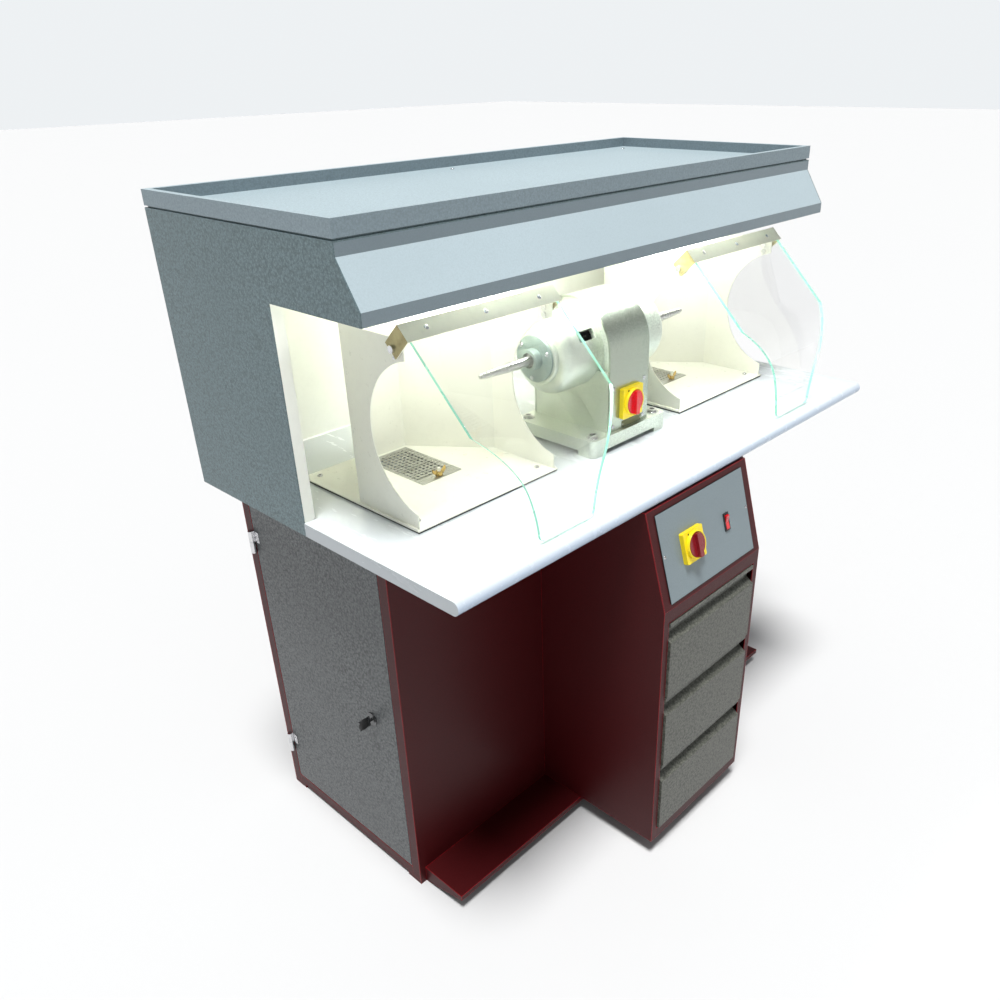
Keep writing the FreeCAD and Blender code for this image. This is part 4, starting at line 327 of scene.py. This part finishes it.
PAINTS = {
    "hood_paint": hammered("hood_paint", rgb(94, 113, 117), 4.2, 0.42, spread=0.3, depth=0.1, gloss=0.4),
    # Tray: painted shade darkens the upright sides, leaving the floor lighter.
    "tray_paint": hammered(
        "tray_paint", rgb(169, 186, 192), 3.6, 0.45, 0.05,
        depth=0.05, spread=0.14, upright=(0.52, 0.54, 0.56),
    ),
    # Cabinet: the rim colour is a painted red highlight along the edges.
    "cabinet_paint": hammered(
        "cabinet_paint", rgb(64, 9, 12), 3.0, 0.42, 0.03,
        depth=0.04, spread=0.14, rim=rgb(196, 14, 32), reach=2.6, gloss=0.2,
    ),
    "door_paint": hammered("door_paint", rgb(90, 93, 94), 5.2, 0.42, 0.05, spread=0.5, gloss=0.3),
    # Drawers: edge 2.2 paints a bright highlight along the nose lines.
    "drawer_paint": hammered(
        "drawer_paint", rgb(90, 91, 84), 5.0, 0.4, 0.05, spread=0.5, edge=2.2, gloss=0.3,
    ),
    "panel_paint": hammered("panel_paint", rgb(118, 131, 136), 1.6, 0.36, 0.1, depth=0.04, spread=0.08),
    "bench_board": worktop_laminate("bench_board"),
    "lining_board": enamel("lining_board", rgb(236, 237, 228)),
    "cream_paint": enamel("cream_paint", rgb(238, 239, 226), 0.32, 0.2),
    "casting_paint": hammered(
        "casting_paint", rgb(214, 222, 208), 2.4, 0.3, 0.3, 0.7, depth=0.14, spread=0.2,
    ),
    "cover_sheet": hammered(
        "cover_sheet", rgb(176, 184, 170), 2.0, 0.26, 0.1, 0.9, depth=0.06, spread=0.12,
    ),
    "steel": ground("steel", rgb(196, 196, 192)),
    "zinc": hammered("zinc", rgb(172, 176, 178), 9.0, 0.35, 0.0, 0.9, 0.02),
    "plated": plated("plated", rgb(220, 220, 222)),
    "brass_part": plated("brass_part", rgb(206, 178, 116), 0.2),
    "clear_glass": clear_glass("clear_glass"),
    "tube_glass": glowing_tube("tube_glass"),
    "yellow_plastic": moulded("yellow_plastic", rgb(240, 214, 24)),
    "red_plastic": moulded("red_plastic", rgb(214, 16, 30), 0.26, 0.4),
    "black_plastic": moulded("black_plastic", rgb(20, 20, 20), 0.45),
    "white_enamel": enamel("white_enamel", rgb(240, 240, 238), 0.3),
    "black_rubber": moulded("black_rubber", rgb(18, 18, 18), 0.7, 0.0),
    "bag_cloth": filter_felt("bag_cloth"),
    "motor_paint": hammered("motor_paint", rgb(34, 37, 40), 2.0, 0.4),
}
FLANGE = hammered("flange_paint", rgb(142, 160, 154), 1.4, 0.3, 0.2, 0.5, depth=0.06, spread=0.12)
# Fascia: painted shade darkens its upright strips against the lit slope.
FASCIA = hammered(
    "fascia_paint", rgb(172, 187, 193), 2.4, 0.34, 0.2,
    depth=0.04, spread=0.05, upright=(0.42, 0.45, 0.47), level=0.5,
)
LOCK = plated("lock_chrome", rgb(96, 97, 98), 0.24)
# Main switch knob: a real dark red, made darker still with painted shade.
SHADED_DARK_RED = moulded("dark_red_plastic_with_painted_shade", rgb(128, 10, 22), 0.3, 0.3)
BRACKET = bracket_paint("bracket_paint")
SPECIAL = {
    "lathe_flanges": FLANGE, "hood_fascia": FASCIA, "main_switch_knob": SHADED_DARK_RED,
    "door_lock": LOCK, "lock_key": LOCK,
    "shield_bracket_left": BRACKET, "shield_bracket_right": BRACKET,
}
for row in frame["record"]["subparts"]:
    mesh = nodes[row["node"]].data
    mesh.materials.clear()
    mesh.materials.append(SPECIAL.get(row["node"], PAINTS[row["material_slot"]]))


def grid_faces(rows, columns):
    """Quads over rows by columns of points, with the last column joined to the first."""
    row, column = np.meshgrid(np.arange(rows - 1), np.arange(columns), indexing="ij")
    beside = (column + 1) % columns
    here, above = row * columns, (row + 1) * columns
    return np.stack((here + column, here + beside, above + beside, above + column), axis=-1).reshape(-1, 4)


def repeated(points, faces, frames):
    """Copies of one shape, its points times each turn plus the place; frames holds (3 by 3 turn, place)."""
    turns = np.array([turn for turn, place in frames])
    places = np.array([place for turn, place in frames], float)
    spread = np.einsum("kij,nj->kni", turns, points) + places[:, None, :]
    shift = len(points) * np.arange(len(frames))[:, None, None]
    return spread.reshape(-1, 3), (faces[None] + shift).reshape(-1, 4)


def joined(*shapes):
    """Several shapes of points and quads as one."""
    points = [shape[0] for shape in shapes]
    starts = np.cumsum([0] + [len(part) for part in points])
    faces = [shape[1] + start for start, shape in zip(starts, shapes)]
    return np.concatenate(points), np.concatenate(faces)


def piece(name, body, slot, shape, material=None, sharp=38):
    """Closed shell in millimetres: doubles are merged, faces turned outward, edges sharp past an angle."""
    points, faces = shape
    mesh = bpy.data.meshes.new(name)
    mesh.from_pydata((points * MM).tolist(), [], faces.tolist())
    work = bmesh.new()
    work.from_mesh(mesh)
    bmesh.ops.remove_doubles(work, verts=work.verts, dist=2e-6)
    bmesh.ops.dissolve_degenerate(work, edges=work.edges, dist=1e-6)
    bmesh.ops.recalc_face_normals(work, faces=work.faces)
    work.to_mesh(mesh)
    work.free()
    mesh.shade_smooth()
    mesh.set_sharp_from_angle(angle=math.radians(sharp))
    mesh.materials.append(material or PAINTS[slot])
    item = bpy.data.objects.new(name, mesh)
    bpy.context.scene.collection.objects.link(item)
    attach(item, body)
    return item


def aimed(way, place, turn=0.0):
    """Frame of (3 by 3 turn, place) whose third axis points along way, spun about it by turn degrees."""
    third = np.array(way, float) / np.linalg.norm(way)
    rough = np.array((0.0, 0.0, 1.0)) if abs(third[2]) < 0.9 else np.array((1.0, 0.0, 0.0))
    first = np.cross(rough, third)
    first /= np.linalg.norm(first)
    second = np.cross(third, first)
    c, s = math.cos(math.radians(turn)), math.sin(math.radians(turn))
    return np.stack((c * first + s * second, c * second - s * first, third), axis=1), place


def turned(profile, count):
    """Profile of (radius, height) turned about the third axis: x = r cos a, y = r sin a, z = h."""
    radius, height = np.array(profile, float).T
    angle = np.arange(count) * 2 * math.pi / count
    x, y = np.outer(radius, np.cos(angle)), np.outer(radius, np.sin(angle))
    points = np.stack((x, y, np.outer(height, np.ones(count))), -1)
    return points.reshape(-1, 3), grid_faces(len(profile), count)


def socket_head(radius, height, socket):
    """Screw head with a rounded rim and a six-sided socket of radius s / cos(a mod 60 - 30 degrees)."""
    floor = 0.4 * height
    profile = [
        (0, -SUNK), (radius, -SUNK), (radius, 0.55 * height), (0.82 * radius, height),
        (socket, height), (socket, floor), (0, floor),
    ]
    points, faces = turned(profile, 12)
    rows = points.reshape(len(profile), 12, 3)
    angle = np.arange(12) * math.pi / 6
    rows[4:6, :, :2] *= (1 / np.cos(angle % (math.pi / 3) - math.pi / 6) * 0.93)[None, :, None]
    return rows.reshape(-1, 3), faces


def slotted_head(radius, height):
    """Domed head with one slot: z = h (1 - 0.6 r^2 / R^2), less half of h where |y| is within the slot."""
    slot_share = 0.18
    share = np.array((1.0, 0.93, 0.7, 0.45, 0.2))
    angle = np.arange(12) * math.pi / 6
    x, y = np.outer(share, np.cos(angle)) * radius, np.outer(share, np.sin(angle)) * radius
    dome = height * (1 - 0.6 * share**2)[:, None] * np.ones(12)
    dome = np.where(np.abs(y) < slot_share * radius, dome - 0.5 * height, dome)
    top = np.stack((x, y, dome), -1)
    base = top[:1] * (1, 1, 0) - (0, 0, SUNK)
    middle = top[-1:].mean(axis=1, keepdims=True) * np.ones((1, 12, 1))
    rows = np.concatenate((base * (0, 0, 1), base, top, middle))
    return rows.reshape(-1, 3), grid_faces(len(rows), 12)


def carried(section, stations, outs, ups, closed=True):
    """Closed section along a path: point = station + out * o + up * u; open ends are capped."""
    section, stations, outs, ups = (np.array(v, float) for v in (section, stations, outs, ups))
    ups = np.broadcast_to(ups, stations.shape)

    def ring(part):
        return stations[:, None] + part[None, :, :1] * outs[:, None] + part[None, :, 1:] * ups[:, None]

    rings = ring(section)
    if closed:
        rings = np.concatenate((rings, rings[:1]))
    else:
        middle = ring(np.broadcast_to(section.mean(axis=0), section.shape))
        rings = np.concatenate((middle[:1], rings, middle[-1:]))
    return rings.reshape(-1, 3), grid_faces(len(rings), len(section))


def loop(low, high, corner):
    """Rounded rectangle: centre + r (cos a, sin a) at each corner, and the direction that an offset takes."""
    left, right = low[0] + corner, high[0] - corner
    front, rear = low[1] + corner, high[1] - corner
    points, outs = [], []
    for quarter, centre in enumerate(((right, rear), (left, rear), (left, front), (right, front))):
        angle = np.linspace(0, math.pi / 2, 4) + quarter * math.pi / 2
        way = np.stack((np.cos(angle), np.sin(angle)), -1)
        points.append(np.array(centre) + corner * way)
        outs.append(way)
    return np.concatenate(points), np.concatenate(outs)


def bar(width, height, ease):
    """Section of a flat bar with eased corners, centred on its foot."""
    w, h, e = width / 2, height, ease
    return [(-w, 0), (w, 0), (w, h - e), (w - e, h), (e - w, h), (-w, h - e)]


def plate(width, depth, height, corner, frame_at):
    """Flat plate with rounded corners and an eased rim, set on a frame by its middle."""
    outline, outs = loop((-width / 2, -depth / 2), (width / 2, depth / 2), corner)
    inset = np.array((0.4, 0.0, 0.0, 0.35))[:, None, None]
    level = np.array((-0.3, -0.3, height - 0.35, height))
    rings = outline[None] - inset * outs[None]
    rings = np.concatenate((rings[:1] * 0, rings, rings[-1:] * 0))
    level = np.concatenate((level[:1], level, level[-1:]))
    points = np.concatenate((rings, np.broadcast_to(level[:, None, None], rings.shape[:2] + (1,))), -1)
    return repeated(points.reshape(-1, 3), grid_faces(len(rings), len(outline)), [frame_at])


UP, FRONT, REAR, LEFT = (0, 0, 1), (0, -1, 0), (0, 1, 0), (-1, 0, 0)
TILT = math.radians(15.95)
PANEL = np.array((-32.0, -377.5, 602.0))


def on_panel(x, z, out=2.0):
    """Point of the sloping panel from its own sizes: along it, up its slope, and outward."""
    c, s = math.cos(TILT), math.sin(TILT)
    return PANEL + (x, -out * c + z * s, out * s + z * c)


PANEL_OUT = (0, -math.cos(TILT), math.sin(TILT))
BOOTH_AT = 359.5
BOOTHS = (-BOOTH_AT, BOOTH_AT)
AXIS = np.array((0.0, -41.0, 994.0))

# Faces that carry fittings, each as its place along the axis it faces
WORKTOP_TOP, BOOTH_DECK, BASE_TOP, BOLT_TOP, TRAY_FLOOR = 808, 813, 842, 848, 1280
COVER_FRONT, COVER_REAR, HOOD_REAR, CABINET_REAR = -136, 54, 382.5, 371
HINGE_FACE, FLANGE_FACE, SWITCH_FACE = -567, 162, 11.5


def fasteners():
    """Screws, bolts and washers, each set as one piece."""
    cap = socket_head(5.2, 3.0, 2.4)
    places = [(b + dx, y, BOOTH_DECK) for b in BOOTHS for dx in (-142, 142) for y in (-95, 179)]
    spots = [aimed(UP, place, 20 * i) for i, place in enumerate(places)]
    piece("plate_screws", "bench", "plated", repeated(*cap, spots))
    spots = []
    for side in (-1, 1):
        for angle in (37, 157, 277):
            y, z = 36 * math.cos(math.radians(angle)), 36 * math.sin(math.radians(angle))
            spots.append(aimed((side, 0, 0), AXIS + (side * FLANGE_FACE, y, z), angle))
    piece("flange_screws", "bench", "plated", repeated(*socket_head(4.2, 3.4, 2.0), spots))
    bolts = [(x, y) for x in (-94, 94) for y in (-124.5, 42.5)]
    washer = turned([(9.2, -0.3), (13.2, -0.3), (13.2, 1.2), (12.8, 1.6), (9.2, 1.6), (9.2, -0.3)], 24)
    socket = turned([(0, -0.3), (5.6, -0.3), (5.6, 0.25), (5.2, 0.4), (0, 0.4)], 6)
    spots = [aimed(UP, (*bolt, BASE_TOP)) for bolt in bolts]
    piece("bolt_washers", "bench", "plated", repeated(*washer, spots))
    spots = [aimed(UP, (*bolt, BOLT_TOP)) for bolt in bolts]
    piece("bolt_sockets", "bench", "black_plastic", repeated(*socket, spots))
    corners = [(x, z) for x in (-47, 47) for z in (852, 927)]
    spots = [aimed(FRONT, (x, COVER_FRONT, z), 35 + 40 * i) for i, (x, z) in enumerate(corners)]
    spots += [aimed(REAR, (x, COVER_REAR, z), 15 + 50 * i) for i, (x, z) in enumerate(corners)]
    spots += [aimed((side, 0, 0), (side * 60, -9, 901), 25 * side) for side in (-1, 1)]
    piece("cover_screws", "bench", "plated", repeated(*slotted_head(4.4, 2.2), spots))
    spots = [aimed(PANEL_OUT, on_panel(x, 98), 30) for x in (-134, 134)]
    piece("panel_screws", "bench", "plated", repeated(*slotted_head(3.4, 1.8), spots))
    hinge_head = slotted_head(2.6, 1.2)
    spots = [aimed(LEFT, (HINGE_FACE, 359, z), 20 * i) for i, z in enumerate((117, 127, 628, 638))]
    piece("hinge_screws", "bench", "plated", repeated(*hinge_head, spots))
    spots = [aimed(LEFT, (HINGE_FACE, 337, z), 35 * i) for i, z in enumerate((141, 151, 652, 662))]
    piece("leaf_screws", "side_door", "plated", repeated(*hinge_head, spots))
    for name, b in zip(("left", "right"), BOOTHS):
        spots = [aimed((0, -1, 1), (b + dx, -128.6, 1132.3), 40 * i) for i, dx in enumerate((-120, 0, 120))]
        piece(f"bracket_screws_{name}", f"shield_{name}", "plated", repeated(*slotted_head(4.2, 2.2), spots))
    back = [(x, HOOD_REAR, z) for x in (-612, 612) for z in (850, 1040, 1230)]
    back += [(x, HOOD_REAR, 1272) for x in (-300, 0, 300)]
    back += [(x, CABINET_REAR, z) for x in (-550, 550) for z in (40, 250, 460, 690)]
    spots = [aimed(REAR, place, 37 * i) for i, place in enumerate(back)]
    piece("back_screws", "bench", "plated", repeated(*slotted_head(4.2, 2.0), spots))
    tray = [(x, y, TRAY_FLOOR) for x in (-560, 0, 560) for y in (-90, 330)]
    spots = [aimed(UP, place, 30 * i) for i, place in enumerate(tray)]
    piece("tray_screws", "bench", "plated", repeated(*slotted_head(4.0, 1.8), spots))


def lathe_trim():
    """Bare plate of the lathe, the dots and collars round both rotary knobs, and black rings of painted
    shadow in the gaps round them.
    """
    bare = Shader("bare_plate", rgb(104, 106, 70), 0.35, Metallic=0.6)
    grain = bare.noise(1.0, 3.0, 0.6, (60.0, 60.0, 900.0))
    bare.colour(bare.mix(bare.span(grain, 0.0, 0.5, 0.4, 0.7), rgb(104, 106, 70), rgb(70, 72, 46)))
    bare.bumps((grain, 0.02, 0.3), ease=0.2)
    thick = 0.8
    bare_plate = plate(60, 13, thick, 1.5, aimed(FRONT, (10, COVER_FRONT, 850)))
    piece("name_plate", "bench", "brass_part", bare_plate, bare.material)
    rivet = turned([(0, -0.3), (1.5, -0.3), (1.2, 0.4), (0.6, 0.7), (0, 0.8)], 10)
    spots = [aimed(FRONT, (x, COVER_FRONT - thick, 850)) for x in (-17.5, 37.5)]
    piece("plate_rivets", "bench", "plated", repeated(*rivet, spots))
    lathe_knob, main_knob = np.array((2, -145.5, 893)), on_panel(-55, 93, SWITCH_FACE)
    dot = turned([(0, -0.2), (2.0, -0.2), (2.0, 0.2), (1.7, 0.35), (0, 0.35)], 16)
    spots = [aimed(FRONT, lathe_knob + (-14.4, 0, 24)), aimed(PANEL_OUT, on_panel(-69.4, 117, SWITCH_FACE))]
    piece("switch_dots", "bench", "black_plastic", repeated(*dot, spots))
    rim = [(23.8, -0.2), (26.6, -0.2), (26.6, 5.2), (26.0, 6.2), (24.6, 6.4), (23.8, 5.6), (23.8, -0.2)]
    # Painted shadow: a black ring in the gap between each knob and its collar.
    gap_shadow = turned([(22.0, -0.2), (23.9, -0.2), (23.9, 0.6), (22.0, 0.6), (22.0, -0.2)], 40)
    knobs = [aimed(FRONT, lathe_knob), aimed(PANEL_OUT, main_knob)]
    piece("switch_collars", "bench", "yellow_plastic", repeated(*turned(rim, 40), knobs))
    piece("switch_gap_shadows", "bench", "black_plastic", repeated(*gap_shadow, knobs))


def spindle_threads():
    """Pigtail threads: radius = foot - 4 along + ridge, where the ridge is a triangle wave of nine turns."""
    turns, count = 9.0, 24
    along = np.linspace(0, 1, 217)
    angle = np.arange(count) * 2 * math.pi / count
    rise = (along[:, None] * turns - angle[None] / (2 * math.pi)) % 1.0
    ridge = 1.5 * np.clip(1 - np.abs(rise - 0.5) / 0.34, 0, 1) - 0.4
    fade = np.clip(np.minimum(along, 1 - along) * 18, 0, 1)[:, None]
    radius = 8.9 - 4.0 * along[:, None] + ridge * fade - 0.3 * (1 - fade)
    length = 219.6 + 77.6 * along
    sides = []
    for side in (-1, 1):
        out = side * length[:, None] * np.ones(count)
        ring = AXIS + np.stack((out, radius * np.cos(angle), radius * np.sin(angle)), -1)
        ends = ring[[0, -1]] * (1, 0, 0) + AXIS
        ring = np.concatenate((ends[:1], ring, ends[1:]))
        sides.append((ring.reshape(-1, 3), grid_faces(len(ring), count)))
    piece("spindle_threads", "lathe_rotor", "steel", joined(*sides), sharp=60)


def seals_and_rims():
    """Beads, a black strip of painted shadow round the panel, flanges and lamp ends: one section carried
    round each path.
    """
    round_section = [(2.6 * math.cos(a), 2.6 * math.sin(a)) for a in np.arange(10) * math.pi / 5]
    path = np.array([(-603, 47.5), (-603, 360.5), (603, 360.5), (603, 47.5)], float)
    outs = np.array([(1, 0), (1, -1), (-1, -1), (-1, 0)], float)
    points = np.column_stack((path, np.full(4, WORKTOP_TOP)))
    outs = np.column_stack((outs, np.zeros(4)))
    piece("lining_seal", "bench", "white_enamel", carried(round_section, points, outs, UP, closed=False))
    # Painted shadow: a thin black strip round the control panel, where the gap to its frame lies in shade.
    outline, ways = loop((-138.6, 9.4), (138.6, 176.6), 2.0)
    place = np.array([on_panel(x, z, 0.0) for x, z in outline])
    out = np.array([on_panel(x, z, 0.0) for x, z in ways]) - PANEL
    lip = [(-0.6, -0.5), (1.4, -0.5), (1.4, 1.6), (-0.6, 1.6)]
    piece("panel_gap_shadow", "bench", "black_rubber", carried(lip, place, out, PANEL_OUT))
    strips = []
    for b in BOOTHS:
        for side in (-1, 1):
            stations = np.array([(b + side * 163.75, y, BOOTH_DECK) for y in (-121, 33)])
            strips.append(carried(bar(4.5, 2.0, 0.6), stations, [(side, 0, 0)] * 2, UP, closed=False))
    piece("wing_flanges", "bench", "cream_paint", joined(*strips))
    cap = turned([(0, 0), (13.6, 0), (14.2, 0.8), (14.2, 15), (13.4, 16), (0, 16)], 24)
    ends = [aimed((-side, 0, 0), (side * 446, -86.5, 1186)) for side in (-1, 1)]
    piece("lamp_caps", "bench", "plated", repeated(*cap, ends))
    nut = turned([(11.2, 0), (15.5, 0), (16.5, 1), (16.5, 8), (15.5, 9), (11.2, 9), (11.2, 0)], 6)
    piece("gland_nut", "bench", "black_plastic", repeated(*nut, [aimed(REAR, (440, CABINET_REAR, 120))]))


def key_head():
    """Moulded grip round the key's bow: an outline of a cos^0.75 by b sin^0.75, t (1 - r^4)^0.5 thick."""
    share = np.linspace(0, 1, 9)[:, None]
    angle = np.arange(28)[None] * 2 * math.pi / 28
    across, up = (np.sign(wave) * np.abs(wave) ** 0.75 for wave in (np.cos(angle), np.sin(angle)))
    x, z = 11 * share * across, 12 * share * up
    thick = 3.6 * np.sqrt(np.clip(1 - share**4, 0, 1)) * np.ones_like(angle)
    front = np.stack((-586 + x, 18.5 - thick, 377 + z), -1)
    rear = np.stack((-586 + x, 18.5 + thick, 377 + z), -1)[::-1]
    rows = np.concatenate((front, rear))
    piece("key_grip", "key", "black_plastic", (rows.reshape(-1, 3), grid_faces(len(rows), 28)))


def louvre_hoods():
    """Pressed hoods over the louvres, open below: y = d (1 - u^6)^0.5 v^0.6 across u and down v."""
    wall = 0.9
    u, v = np.meshgrid(np.linspace(-1, 1, 15), np.linspace(0, 1, 6), indexing="ij")
    reach = 5.5 * np.clip(1 - u**6, 0, 1) ** 0.5 * v**0.6
    outer = np.stack((56 * u, reach, 12 * (1 - v)), -1)
    rings = np.concatenate((outer, outer[:, ::-1] - (0, wall, 0)), axis=1)
    ends = np.broadcast_to(rings[[0, -1]].mean(axis=1, keepdims=True), (2,) + rings.shape[1:])
    rings = np.concatenate((ends[:1], rings, ends[1:]))
    spots = [(np.eye(3), (205, CABINET_REAR, 17.5 + 19.2 * i)) for i in range(5)]
    shape = repeated(rings.reshape(-1, 3), grid_faces(len(rings), rings.shape[1]), spots)
    piece("louvre_hoods", "bench", "cabinet_paint", shape, sharp=50)


fasteners()
lathe_trim()
spindle_threads()
seals_and_rims()
key_head()
louvre_hoods()


def studio():
    """Pale floor, soft light from nearly overhead, a low surround, a fill in front and lamps in the hood."""
    far = 30.0
    floor = bpy.data.meshes.new("floor")
    corners = [(-far, -far, 0), (far, -far, 0), (far, far, 0), (-far, far, 0)]
    floor.from_pydata(corners, [], [(0, 1, 2, 3)])
    slab = bpy.data.objects.new("floor", floor)
    bpy.context.scene.collection.objects.link(slab)
    paint = Shader("floor_paint", (0.6, 0.6, 0.6), 0.85)
    floor.materials.append(paint.material)
    world = bpy.data.worlds.new("surround")
    world.use_nodes = True
    tree = world.node_tree
    back = tree.nodes["Background"]
    place = tree.nodes.new("ShaderNodeTexCoord")
    split = tree.nodes.new("ShaderNodeSeparateXYZ")
    band = tree.nodes.new("ShaderNodeMapRange")
    for socket, value in zip(("From Min", "From Max", "To Min", "To Max"), (0.06, 0.42, 0.9, 0.24)):
        band.inputs[socket].default_value = value
    tree.links.new(place.outputs["Generated"], split.inputs[0])
    tree.links.new(split.outputs["Z"], band.inputs["Value"])
    tree.links.new(band.outputs["Result"], back.inputs["Strength"])
    back.inputs["Color"].default_value = (0.95, 0.98, 1.0, 1)
    bpy.context.scene.world = world
    bpy.context.scene.view_settings.view_transform = "Standard"
    booths = zip(("booth_lamp_left", "booth_lamp_right"), np.array(BOOTHS) * MM)
    lamps = (
        ("sun", "SUN", (-0.16, -0.14, 0.97), (0, 0, 0), 4.4, None),
        ("front_fill", "AREA", (-1.4, -3.4, 1.5), (0, 0, 0.6), 5.0, (2.2, 1.8)),
        ("hood_lamp", "AREA", (0, -0.075, 1.168), (0, 0.2, 0.6), 7.5, (0.85, 0.05)),
        *((name, "AREA", (x, 0.02, 1.112), (x, 0.0, 0.8), 0.62, (0.28, 0.22)) for name, x in booths),
    )
    for name, kind, spot, target, power, extent in lamps:
        lamp = bpy.data.lights.new(name, kind)
        lamp.energy = power
        if kind == "SUN":
            lamp.angle = math.radians(16)
        else:
            lamp.shape = "RECTANGLE"
            lamp.size, lamp.size_y = extent
        holder = bpy.data.objects.new(name, lamp)
        holder.location = spot
        holder.rotation_euler = (Vector(target) - Vector(spot)).to_track_quat("-Z", "Y").to_euler()
        bpy.context.scene.collection.objects.link(holder)


def camera():
    """The photograph's viewpoint: place, yaw, pitch, roll, focal length and offset of the frame."""
    yaw, pitch, roll = (math.radians(angle) for angle in (-46.7, -28.4, -1.1))
    ahead = Vector((-math.sin(yaw) * math.cos(pitch), math.cos(yaw) * math.cos(pitch), math.sin(pitch)))
    level = Vector((math.cos(yaw), math.sin(yaw), 0))
    upright = level.cross(ahead)
    right = level * math.cos(roll) + upright * math.sin(roll)
    above = upright * math.cos(roll) - level * math.sin(roll)
    lens = bpy.data.cameras.new("camera")
    lens.lens = 31.72
    lens.sensor_width = 36
    lens.shift_x = -0.0409
    lens.shift_y = 0.0398
    holder = bpy.data.objects.new("camera", lens)
    turn = Matrix((right, above, -ahead)).transposed().to_4x4()
    holder.matrix_world = Matrix.Translation((-1.2968, -1.1191, 1.4664)) @ turn
    bpy.context.scene.collection.objects.link(holder)
    bpy.context.scene.camera = holder


studio()
camera()
